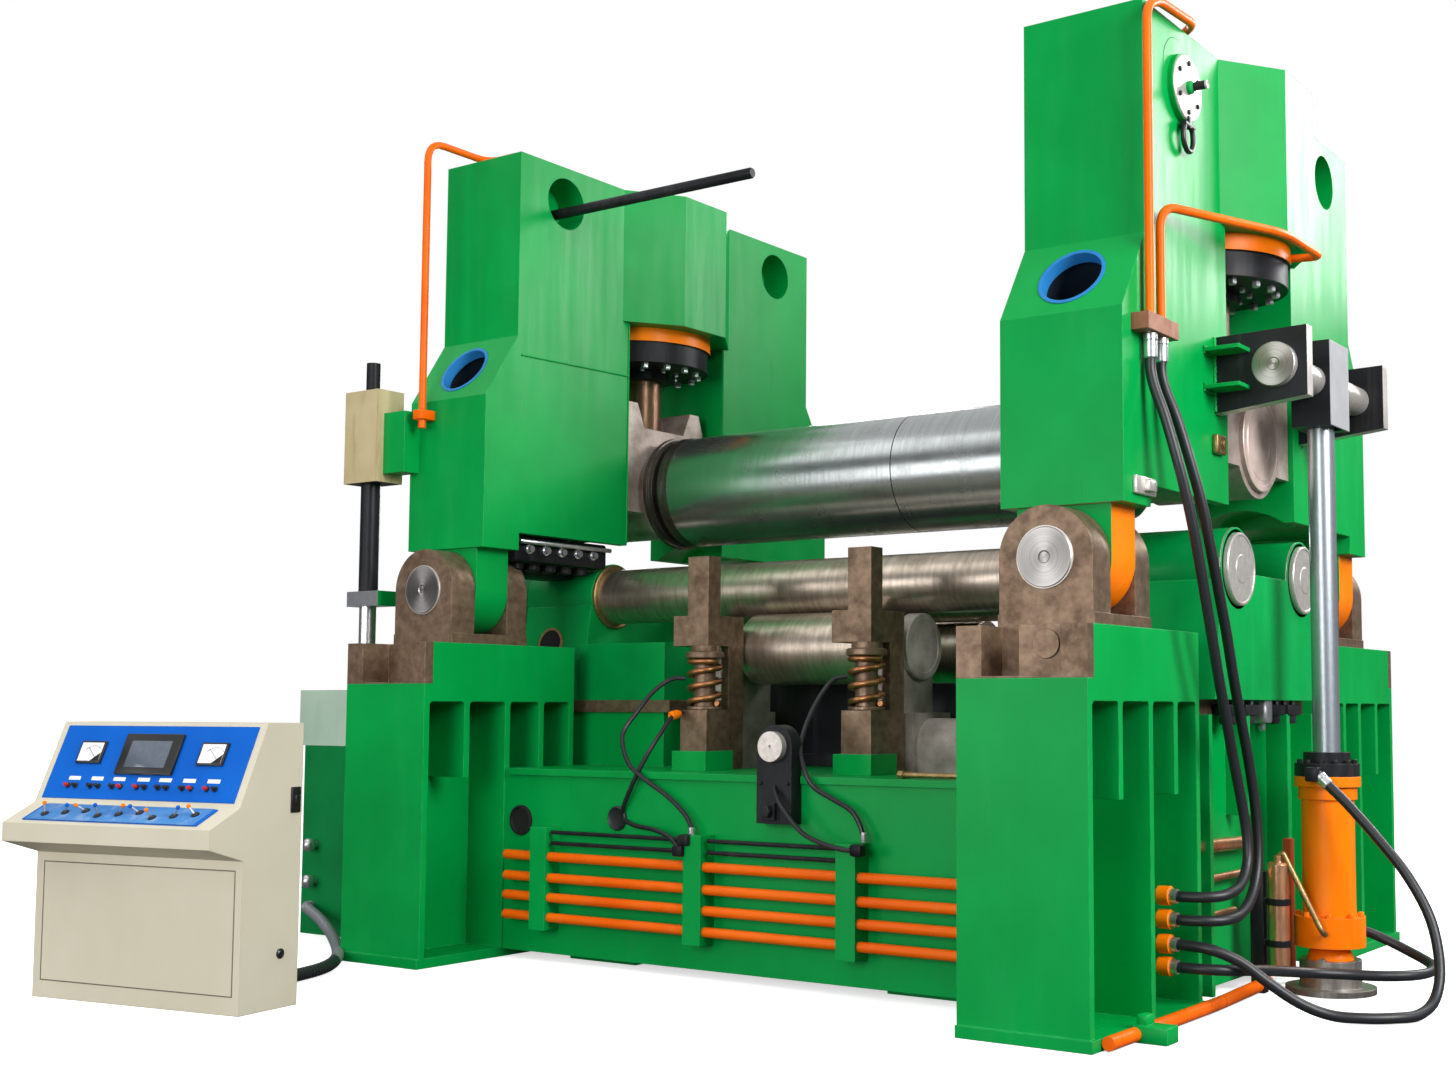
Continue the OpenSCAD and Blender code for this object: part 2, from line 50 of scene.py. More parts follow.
# main axes in metres, as the construction has them
frameX, outerX, cylinderX = 2.055, 2.375, 2.7
pinZ, tiltPinZ = 2.137, 3.16
topRollZ, bottomRollZ, bottomRollY = 2.877, 2.164, 0.468
# middle of a slanted hole's mouth, and the way it points
holeY, holeZ, holeOut, holeUp = 1.6045, 3.492, 0.844, 0.536
frameSides = ((-frameX, "Left", "base"), (frameX, "Right", "tilt_frame"))
alongX, upward, downward, toFront = (1, 0, 0), (0, 0, 1), (0, 0, -1), (0, -1, 0)

# camera: stands low at the front right corner, as the photographer did
photoCamera = {"place": (5.7, -8.764, 1.45), "yaw": 33.6, "pitch": 4.45, "roll": 0.12,
               "lens": 42.31, "shift": (-0.1015, 0.0241)}


def placeCamera(c):
    yaw, pitch, roll = (math.radians(c[k]) for k in ("yaw", "pitch", "roll"))
    ahead = Vector((-math.sin(yaw) * math.cos(pitch), math.cos(yaw) * math.cos(pitch), math.sin(pitch)))
    side = Vector((math.cos(yaw), math.sin(yaw), 0))
    up = side.cross(ahead)
    sideRolled = side * math.cos(roll) + up * math.sin(roll)
    upRolled = up * math.cos(roll) - side * math.sin(roll)
    data = bpy.data.cameras.new("photoCamera")
    data.lens, data.sensor_width = c["lens"], 36.0
    data.shift_x, data.shift_y = c["shift"]
    data.clip_end = 200
    cam = bpy.data.objects.new("photoCamera", data)
    scene.collection.objects.link(cam)
    turn = Matrix((sideRolled, upRolled, -ahead)).transposed().to_4x4()
    cam.matrix_world = Matrix.Translation(c["place"]) @ turn
    scene.camera = cam


placeCamera(photoCamera)
print("camera placed")


# colour and node helpers
def linear(hexCode):
    # sRGB byte to linear light, channel by channel
    v = np.array([int(hexCode[i:i + 2], 16) for i in (0, 2, 4)]) / 255
    v = np.where(v <= 0.04045, v / 12.92, ((v + 0.055) / 1.055) ** 2.4)
    return (*v.tolist(), 1.0)


def give(t, node, inputs):
    # a socket is linked, a plain value is set
    for key, value in inputs.items():
        if isinstance(value, bpy.types.NodeSocket):
            t.links.new(value, node.inputs[key])
        else:
            node.inputs[key].default_value = value


def addNode(t, kind, inputs=None, **settings):
    n = t.nodes.new(kind)
    for key, value in settings.items():
        if key in n.inputs:
            n.inputs[key].default_value = value
        else:
            setattr(n, key, value)
    give(t, n, inputs or {})
    return n


def startMaterial(name):
    m = bpy.data.materials.new(name)
    m.use_nodes = True
    t = m.node_tree
    return m, t, t.nodes["Principled BSDF"], addNode(t, "ShaderNodeTexCoord").outputs["Object"]


def mapped(t, where, scale):
    return addNode(t, "ShaderNodeMapping", {"Vector": where}, Scale=scale).outputs["Vector"]


def noise(t, where, size, detail=4.0, rough=0.55):
    # size is the width of one patch in metres
    return addNode(t, "ShaderNodeTexNoise", {"Vector": where}, Scale=1 / size, Detail=detail,
                   Roughness=rough).outputs["Fac"]


def spread(t, value, low, high, outLow, outHigh):
    return addNode(t, "ShaderNodeMapRange", {"Value": value, "From Min": low, "From Max": high, "To Min": outLow,
                                             "To Max": outHigh}).outputs["Result"]


def blendColour(t, amount, a, b):
    n = addNode(t, "ShaderNodeMix", {"Factor": amount}, data_type="RGBA", clamp_factor=True)
    give(t, n, {6: a, 7: b})
    return n.outputs[2]


def vectorMath(t, operation, a, b=None):
    return addNode(t, "ShaderNodeVectorMath", {0: a} if b is None else {0: a, 1: b}, operation=operation).outputs


def bumpFrom(t, height, depth, strength, over=None):
    inputs = {"Height": height, "Normal": over} if over else {"Height": height}
    return addNode(t, "ShaderNodeBump", inputs, Distance=depth, Strength=strength).outputs["Normal"]


def roundedNormal(t, radius):
    return addNode(t, "ShaderNodeBevel", samples=4, Radius=radius).outputs["Normal"]


def easedEdges(t, radius):
    # normals rounded over each corner, and a mask that is 1 along the corner
    eased = roundedNormal(t, radius)
    flat = addNode(t, "ShaderNodeNewGeometry").outputs["Normal"]
    return eased, spread(t, vectorMath(t, "DOT_PRODUCT", eased, flat)["Value"], 0.8, 0.97, 1, 0)


def enamel(name, hexColour, deepHex, dustAndGlintHex, gloss, dust, wearAndGlint=0.35):
    # sprayed machine enamel: broad uneven coats, fine peel, shop dust run down in streaks, paler corners that are
    # partly rubbed wear and partly a painted highlight of edges catching light
    m, t, shader, where = startMaterial(name)
    coats = noise(t, where, 0.55, 3)
    body = blendColour(t, spread(t, coats, 0.34, 0.66, 0, 1), linear(deepHex), linear(hexColour))
    runs = noise(t, mapped(t, where, (9, 9, 1.1)), 0.9, 6, 0.62)
    dusty = blendColour(t, spread(t, runs, 0.52, 0.82, 0, dust), body, linear(dustAndGlintHex))
    eased, corner = easedEdges(t, 0.006)
    patchy = spread(t, noise(t, where, 0.07, 5), 0.35, 0.65, 0, wearAndGlint)
    # paler corners: part rubbed wear, part painted highlight where the edges catch light
    rubbedAndLitCorner = addNode(t, "ShaderNodeMath", {0: corner, 1: patchy}, operation="MULTIPLY").outputs["Value"]
    give(t, shader, {"Base Color": blendColour(t, rubbedAndLitCorner, dusty, linear(dustAndGlintHex)),
                     "Roughness": spread(t, runs, 0.3, 0.8, gloss, gloss + 0.18),
                     "Normal": bumpFrom(t, noise(t, where, 0.004, 2), 0.0006, 0.12, eased),
                     "Specular IOR Level": 0.14})
    return m


def machined(name, hexColour, deepHex, stainHex, gloss, lay, laySize, stain, metal=0.92, film=0.22):
    # machined steel: cutter lay as long fine streaks, oil and light rust in soft patches, eased corners
    m, t, shader, where = startMaterial(name)
    streaks = noise(t, mapped(t, where, lay), laySize, 5, 0.6)
    base = blendColour(t, spread(t, streaks, 0.3, 0.7, 0, 1), linear(deepHex), linear(hexColour))
    patches = noise(t, where, 0.16, 6, 0.65)
    stained = spread(t, patches, 0.5, 0.74, 0, stain)
    give(t, shader, {"Base Color": blendColour(t, stained, base, linear(stainHex)),
                     "Roughness": spread(t, patches, 0.4, 0.75, gloss, gloss + film),
                     "Normal": bumpFrom(t, streaks, 0.0008, 0.12, roundedNormal(t, 0.005)), "Metallic": metal})
    return m


def facedSteel(name, hexColour, deepHex, gloss, middle):
    # end face off the lathe: fine rings round the pin's middle, and a sheen that fans out from it
    m, t, shader, where = startMaterial(name)
    level = vectorMath(t, "MULTIPLY", vectorMath(t, "SUBTRACT", where, middle)["Vector"], (1, 0, 1))["Vector"]
    reach = vectorMath(t, "LENGTH", level)["Value"]
    rings = noise(t, addNode(t, "ShaderNodeCombineXYZ", {"X": reach}).outputs["Vector"], 0.007, 3, 0.6)
    tone = blendColour(t, spread(t, rings, 0.3, 0.7, 0, 1), linear(deepHex), linear(hexColour))
    give(t, shader, {"Base Color": tone, "Tangent": vectorMath(t, "CROSS_PRODUCT", level, (0, 1, 0))["Vector"],
                     "Normal": bumpFrom(t, rings, 0.0006, 0.1), "Roughness": gloss, "Metallic": 0.95,
                     "Anisotropic": 0.75})
    return m


def castSurface(name, hexColour, deepHex, gloss, metal):
    # sand casting: pebbled skin over cloudy tone, darker in the pits
    m, t, shader, where = startMaterial(name)
    clouds = noise(t, where, 0.2, 5, 0.6)
    pits = noise(t, where, 0.011, 3, 0.6)
    tone = blendColour(t, spread(t, clouds, 0.35, 0.68, 0, 1), linear(deepHex), linear(hexColour))
    give(t, shader, {"Base Color": blendColour(t, spread(t, pits, 0.55, 0.78, 0, 0.5), tone, linear(deepHex)),
                     "Normal": bumpFrom(t, pits, 0.002, 0.35), "Roughness": gloss, "Metallic": metal})
    return m


def plain(name, hexColour, gloss, metal=0.0):
    # small plain pieces: one colour with a faint mottling so that it isn't flat
    m, t, shader, where = startMaterial(name)
    mottled = spread(t, noise(t, where, 0.03, 3), 0.3, 0.7, 0, 1)
    c = linear(hexColour)
    darker = tuple(x * 0.86 for x in c[:3]) + (1.0,)
    give(t, shader, {"Base Color": blendColour(t, mottled, darker, c), "Roughness": gloss, "Metallic": metal})
    return m


mats = {
    "green": enamel("green enamel, sprayed", "009e47", "009340", "5cc592", 0.27, 0.04, 0.8),
    "greenDark": enamel("green enamel on casting, brushed", "02a04c", "018c41", "5cc592", 0.25, 0.08, 0.6),
    # cabinet green is darker than the frame green: painted shade
    "cabinet": enamel("green enamel, dull, darkened as painted shade", "04803f", "037036", "57a87c", 0.45, 0.06, 0.4),
    "paleGreen": enamel("pale green enamel, faded", "b9cfbd", "a8c0ad", "93a594", 0.45, 0.3),
    "orange": enamel("orange enamel, sprayed", "ff8606", "fb7602", "ffc080", 0.26, 0.1, 0.5),
    "rustOrange": enamel("red oxide primer, brushed", "c2562a", "a8431d", "d98a5c", 0.5, 0.3, 0.5),
    "pipeOrange": enamel("orange pipe enamel, brushed", "fa6f0c", "ee6006", "ffb27a", 0.24, 0.08, 0.4),
    "black": enamel("black enamel, brushed", "26272b", "17181b", "6a655f", 0.32, 0.25, 0.6),
    "greyFace": enamel("milled face, thin grey primer", "a2a2a6", "828286", "c2c0bc", 0.4, 0.3),
    "beige": enamel("beige powder coat", "d0cab6", "cac3ae", "bdb59e", 0.42, 0.12, 0.3),
    "stainedBeige": enamel("beige enamel, rust stained", "cdbf97", "b3a379", "7a5433", 0.45, 0.9, 0.5),
    "doorShade": plain("door gap shade", "6f6a5b", 0.7),
    "blue": enamel("blue anodised panel, matt", "0161c4", "0158ba", "2f78ca", 0.4, 0.06, 0.2),
    "paleBlue": enamel("pale blue desk strip, scuffed", "4d87c2", "2f6bae", "b8c6d4", 0.45, 0.6),
    "brown": machined("milled steel, oiled brown", "927a64", "6b5746", "4c3626", 0.38, (1, 1, 1), 0.05, 0.85, 0.6),
    "roller": machined("roller steel, oiled", "cdbfb0", "a69a8d", "7d6450", 0.3, (9, 1, 1), 0.22, 0.6, 0.92, 0.14),
    "manifold": machined("manifold block, rust brown", "9a6547", "7d4c33", "5a321f", 0.5, (1, 1, 1), 0.06, 0.5, 0.3),
    "turned": machined("turned steel", "dfdad5", "c8c2bc", "a08c7a", 0.3, (2, 2, 2), 0.05, 0.45, 0.6),
    "pinLeft": facedSteel("pin end, faced", "a9a6a4", "86827f", 0.34, (-frameX, 0, pinZ)),
    "pinRight": facedSteel("pin end, faced, drop end", "a9a6a4", "86827f", 0.34, (frameX, 0, pinZ)),
    "pinTilt": facedSteel("tilt pin end, faced", "a9a6a4", "86827f", 0.34, (cylinderX, 0, tiltPinZ)),
    "bronze": machined("bronze fitting, dull", "b99d70", "8f7547", "5c4630", 0.38, (2, 2, 2), 0.05, 0.4),
    "roll": machined("ground roll steel", "b4b8b8", "a3a8a8", "8b8c88", 0.23, (22, 1, 1), 0.4, 0.3, 0.92, 0.07),
    "ram": machined("ram steel, dark oil film", "8a6a55", "5c4334", "3a281e", 0.3, (7, 7, 1), 0.1, 0.6, 0.8),
    "collar": machined("bearing collar, burnt oil", "6a625c", "4a443f", "2f2823", 0.34, (9, 1, 1), 0.2, 0.6, 0.8),
    "cast": castSurface("grey iron, sand cast", "d0bfb7", "8f7f75", 0.5, 0.3),
    # lighter copy of the cast iron for the chock's end disc: faced metal, brightened further as painted light
    "facedLitCast": castSurface("faced iron, light rust, brightened as painted light", "f2ddd4", "cdb3a6", 0.42, 0.3),
    # darker copy of the cast iron for the support brackets and caps: painted shade
    "shadedCast": castSurface("grey iron, darkened as painted shade", "b3aaa2", "7d756e", 0.5, 0.3),
    "cup": machined("turned foot, dull", "c4bfba", "9a948e", "7a6a5c", 0.32, (9, 9, 1), 0.2, 0.5),
    "copper": machined("coiled spring wire, copper tone", "c48a60", "9a643d", "5e3620", 0.3, (1, 1, 1), 0.08, 0.4),
    "copperAndReflection": machined("copper tone, partly painted orange reflection", "e6b48e", "d0936a", "9a6040", 0.28, (7, 7, 1), 0.15, 0.4),
    "chrome": plain("hard chrome, satin", "a8afb6", 0.34, 0.75),
    "silver": plain("zinc plated fittings", "d3d5d8", 0.3, 0.9),
    "rubber": plain("black hose rubber", "1c1d22", 0.42),
    "conduit": plain("grey ribbed conduit", "8d9096", 0.4, 0.3),
    "dark": plain("dark seam and painted hole shade", "0b0c0d", 0.8),
    "hollow": plain("blue hole inside, painted shade", "0b1d2b", 0.6),
    "white": plain("white dial face", "f4f5f3", 0.35),
    "screen": plain("screen glass, off", "5b6470", 0.12),
    "rim": enamel("blue enamel ring, brushed", "2f86c8", "2272b4", "6db0dc", 0.35, 0.1),
    "red": plain("red button plastic", "c32018", 0.3),
    "knob": plain("black knob plastic", "17181a", 0.35),
}
print("materials made:", len(mats))


# geometry helpers: every new piece is a grid of points worked out in one go
def gridFaces(rows, cols, closeCols=True, start=0):
    r = np.arange(rows - 1)[:, None]
    c = np.arange(cols if closeCols else cols - 1)[None, :]
    a = r * cols + c
    b = r * cols + (c + 1) % cols
    return (np.stack([a, b, b + cols, a + cols], -1).reshape(-1, 4) + start).tolist()


def closedSkin(points):
    # rows of rings, capped at both ends
    rows, cols = points.shape[:2]
    faces = gridFaces(rows, cols)
    faces.append(list(range(cols))[::-1])
    faces.append(list(range((rows - 1) * cols, rows * cols)))
    return points.reshape(-1, 3), faces


def ring(n):
    a = np.linspace(0, 2 * math.pi, n, endpoint=False)
    return np.stack([np.cos(a), np.sin(a)], -1)


def carried(path, outline):
    # outline carried along the path: point = path + u * normal + v * binormal, turned as little as possible
    p = np.asarray(path, float)
    t = np.gradient(p, axis=0)
    t /= np.linalg.norm(t, axis=1)[:, None]
    n = np.zeros_like(p)
    first = np.array([0.31, 0.87, 0.38]) if abs(t[0] @ [0.31, 0.87, 0.38]) < 0.9 else np.array([1.0, 0, 0])
    n[0] = np.cross(t[0], first)
    for i in range(1, len(p)):
        n[i] = n[i - 1] - t[i] * (n[i - 1] @ t[i])
    n /= np.linalg.norm(n, axis=1)[:, None]
    b = np.cross(t, n)
    o = np.asarray(outline, float)
    return p[:, None] + o[None, :, :1] * n[:, None] + o[None, :, 1:] * b[:, None]


def tube(path, radius, sides=14):
    return closedSkin(carried(path, ring(sides) * radius))


def spun(base, axis, profile, sides=40, hollow=False):
    # profile of (radius, distance) pairs spun about the axis through base; a hollow one is left open in the middle
    w = np.asarray(axis, float) / np.linalg.norm(axis)
    u = np.cross(w, [0, 0, 1.0]) if abs(w[2]) < 0.9 else np.array([1.0, 0, 0])
    u /= np.linalg.norm(u)
    v = np.cross(w, u)
    c = ring(sides)
    pr = np.asarray(profile, float)
    pts = (np.asarray(base, float) + pr[:, 1, None, None] * w
           + pr[:, 0, None, None] * (c[None, :, :1] * u + c[None, :, 1:] * v))
    return (pts.reshape(-1, 3), gridFaces(len(pr), sides)) if hollow else closedSkin(pts)


def softBox(low, high, edge=0.006):
    # box with its edges eased: rounded outline stacked in layers that draw in at both ends
    lo, hi = np.minimum(low, high), np.maximum(low, high)
    edge = min(edge, 0.45 * float((hi - lo).min()))
    a = np.linspace(0, math.pi / 2, 3)
    corner = np.stack([np.cos(a), np.sin(a)], -1)
    signs = np.array([[1, 1], [-1, 1], [-1, -1], [1, -1]])
    turns = [corner, corner[:, ::-1] * [-1, 1], -corner, corner[:, ::-1] * [1, -1]]
    mid, half = (lo + hi) / 2, (hi - lo) / 2
    layers = [(lo[2], edge), (lo[2] + edge * 0.3, edge * 0.3), (lo[2] + edge, 0),
              (hi[2] - edge, 0), (hi[2] - edge * 0.3, edge * 0.3), (hi[2], edge)]
    rows = []
    for z, draw in layers:
        outline = np.concatenate([s * (half[:2] - edge) + c * (edge - draw) for s, c in zip(signs, turns)])
        rows.append(np.column_stack([outline + mid[:2], np.full(len(outline), z)]))
    return closedSkin(np.array(rows))


def rounded(points, radius, steps=6):
    # straight runs joined by smooth bends
    p = [np.asarray(q, float) for q in points]
    out = [p[0]]
    s = np.linspace(0, 1, steps)[:, None]
    for a, b, c in zip(p, p[1:], p[2:]):
        r = min(radius, 0.45 * np.linalg.norm(a - b), 0.45 * np.linalg.norm(c - b))
        i = b + (a - b) / np.linalg.norm(a - b) * r
        o = b + (c - b) / np.linalg.norm(c - b) * r
        out.extend((1 - s) ** 2 * i + 2 * s * (1 - s) * b + s ** 2 * o)
    out.append(p[-1])
    return np.array(out)


def flowing(points, per=6):
    # smooth curve through every point, each stretch blended from its four neighbours
    p = np.asarray(points, float)
    p = np.vstack([2 * p[0] - p[1], p, 2 * p[-1] - p[-2]])
    s = np.linspace(0, 1, per, endpoint=False)[:, None]
    runs = [0.5 * (2 * b + (c - a) * s + (2 * a - 5 * b + 4 * c - d) * s ** 2 + (3 * b - a - 3 * c + d) * s ** 3)
            for a, b, c, d in zip(p, p[1:], p[2:], p[3:])]
    return np.vstack(runs + [p[-2]])


def piece(name, skins, material, body="base", smooth=35):
    # several skins in one mesh object that rides on one body
    verts, faces, at = [], [], 0
    for v, f in skins:
        verts.append(v)
        faces.extend([[i + at for i in q] for q in f])
        at += len(v)
    mesh = bpy.data.meshes.new(name)
    mesh.from_pydata(np.vstack(verts).tolist(), [], faces)
    mesh.polygons.foreach_set("use_smooth", np.ones(len(mesh.polygons), bool))
    mesh.set_sharp_from_angle(angle=math.radians(smooth))
    mesh.materials.append(mats[material])
    obj = bpy.data.objects.new(name, mesh)
    scene.collection.objects.link(obj)
    if body:
        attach(obj, body)
    return obj


def placed(skin, origin, axes):
    # local x, y, z of a skin laid along three given directions from an origin
    return np.asarray(origin, float) + skin[0] @ np.asarray(axes, float), skin[1]


def hexBolt(base, axis, radius, height):
    return spun(base, axis, [(radius, 0), (radius, height * 0.8), (radius * 0.8, height)], 6)


def boltCircle(centre, axis, reach, count, radius, height, start=0.0):
    # bolts spaced evenly round a flange
    w = np.asarray(axis, float)
    u = np.array([1.0, 0, 0]) if abs(w[0]) < 0.5 else np.array([0, 1.0, 0])
    v = np.cross(w, u)
    a = np.linspace(0, 2 * math.pi, count, endpoint=False) + start
    spots = np.asarray(centre, float) + reach * (np.cos(a)[:, None] * u + np.sin(a)[:, None] * v)
    return [hexBolt(p, axis, radius, height) for p in spots]


def weldBead(a, b, radius):
    # a line of scalloped rings: radius swells and shrinks along the run like stacked ripples
    a, b = np.asarray(a, float), np.asarray(b, float)
    n = int(np.linalg.norm(b - a) / (radius * 0.7)) + 2
    s = np.linspace(0, 1, n)
    skin = carried(a + s[:, None] * (b - a), ring(7) * radius)
    mid = skin.mean(1, keepdims=True)
    swell = (1 + 0.16 * np.sin(s * n * 2.1) + 0.07 * np.sin(s * n * 0.7))[:, None, None]
    return closedSkin(mid + (skin - mid) * swell)


def coil(centre, radius, wire, low, high, turns):
    # helix whose ends lie flat: height follows the angle except over the first and last half turn
    a = np.linspace(0, turns * 2 * math.pi, turns * 20)
    s = np.clip((a - math.pi) / (a[-1] - 2 * math.pi), 0, 1)
    path = np.column_stack([centre[0] + radius * np.cos(a), centre[1] + radius * np.sin(a), low + (high - low) * s])
    return tube(path, wire, 10)


def paintWhere(node, material, test):
    # faces whose middle passes the test get another finish
    mesh = (nodes[node] if node in nodes else bpy.data.objects[node]).data
    mids = np.zeros(len(mesh.polygons) * 3)
    mesh.polygons.foreach_get("center", mids)
    facing = np.zeros(len(mesh.polygons) * 3)
    mesh.polygons.foreach_get("normal", facing)
    which = np.zeros(len(mesh.polygons), np.int32)
    mesh.polygons.foreach_get("material_index", which)
    picked = test(*mids.reshape(-1, 3).T, facing.reshape(-1, 3))
    mesh.materials.append(mats[material])
    which[picked] = len(mesh.materials) - 1
    mesh.polygons.foreach_set("material_index", which)


# finishes of the construction pieces
finish = {
    "green": ["bed", "stands_left", "stands_right", "frame_left", "frame_right", "pipe_racks"],
    "cabinet": ["drive_unit"],
    "greenDark": ["housing_left", "housing_right"],
    "brown": ["rail_blocks", "clevises", "guide_columns"],
    "roller": ["support_roller_front", "support_roller_rear", "bottom_roll_front", "bottom_roll_rear"],
    "manifold": ["manifold"],
    "turned": ["hinge_pins", "bearing_covers", "tilt_pin"],
    "ram": ["ram_left", "ram_right"],
    "cast": ["chock_left", "chock_right"],
    "shadedCast": ["support_brackets"],
    "orange": ["hose_couplings", "tilt_barrel", "press_seat_left", "press_seat_right"],
    "pipeOrange": ["bed_pipes", "pipes_left", "pipes_right"],
    "black": ["centre_bracket", "tilt_plates", "tilt_gland", "tilt_block"],
    "beige": ["console_body"],
    "stainedBeige": ["balance_unit"],
    "blue": ["console_panel"],
    "roll": ["top_roll"],
    "chrome": ["tilt_rod"],
    "cup": ["cylinder_cup"],
    "copper": ["column_springs"],
    "rubber": ["hoses_tilt", "hoses_floor"],
}
for key, names in finish.items():
    for n in names:
        nodes[n].data.materials.clear()
        nodes[n].data.materials.append(mats[key])


def inSlantHole(x, y, z, facing):
    inward, above = holeY - np.abs(y), z - holeZ
    along = holeUp * above - holeOut * inward
    off = np.hypot(np.abs(x) - frameX, holeUp * inward + holeOut * above)
    return (off < 0.176) & (along < 0.05) & (along > -0.32)


# inside of each slanted hole painted dark navy: painted shade
paintWhere("frame_left", "hollow", inSlantHole)
paintWhere("frame_right", "hollow", inSlantHole)
paintWhere("frame_right", "orange", lambda x, y, z, f: (z < 2.392) & (np.abs(y) > 1.45) & (np.abs(x - frameX) < 0.25)
           & (np.abs(f[:, 1]) < 0.5))
for side in ("left", "right"):
    paintWhere("press_seat_" + side, "black", lambda x, y, z, f: z < 3.8655)
paintWhere("balance_unit", "silver", lambda x, y, z, f: (z < 2.152) & (z > 1.502))
paintWhere("balance_unit", "black", lambda x, y, z, f: (z > 3.376) | ((z < 2.811) & (z > 2.152)))
paintWhere("balance_unit", "green", lambda x, y, z, f: (z < 1.502) | (x > -2.479))
paintWhere("drive_unit", "paleGreen", lambda x, y, z, f: (y < -0.75) & (z > 1.204))
paintWhere("tilt_plates", "green", lambda x, y, z, f: (np.abs(y) > 0.651) & (x < 2.57))
paintWhere("tilt_plates", "turned", lambda x, y, z, f: (np.abs(f[:, 1]) < 0.5) & (np.abs(y) < 0.655) & (x > 2.5))
for side in ("left", "right"):
    paintWhere("ram_" + side, "cast", lambda x, y, z, f: np.hypot(np.abs(x) - frameX, y) > 0.17)
    paintWhere("ram_" + side, "cast", lambda x, y, z, f: (z < 3.48) & (np.hypot(f[:, 0], f[:, 1]) < 0.3))
paintWhere("tilt_block", "greyFace", lambda x, y, z, f: f[:, 0] > 0.5)
paintWhere("centre_bracket", "turned", lambda x, y, z, f: (y < -1.602) & (z > 1.1))
paintWhere("hose_couplings", "silver", lambda x, y, z, f: (x > 2.326) | (x < 2.264))
paintWhere("manifold", "silver", lambda x, y, z, f: z < 3.191)
paintWhere("guide_columns", "green", lambda x, y, z, f: z < 1.2065)
print("finishes on")

# hoses first: the two that run down the drop end, then the floor ones, then the short ones on the bed
hoseKit = {"big": 0.026, "small": 0.013}


def offFrame(points):
    # points measured outward from the right frame's outer face
    return np.array(points) + (outerX, 0, 0)


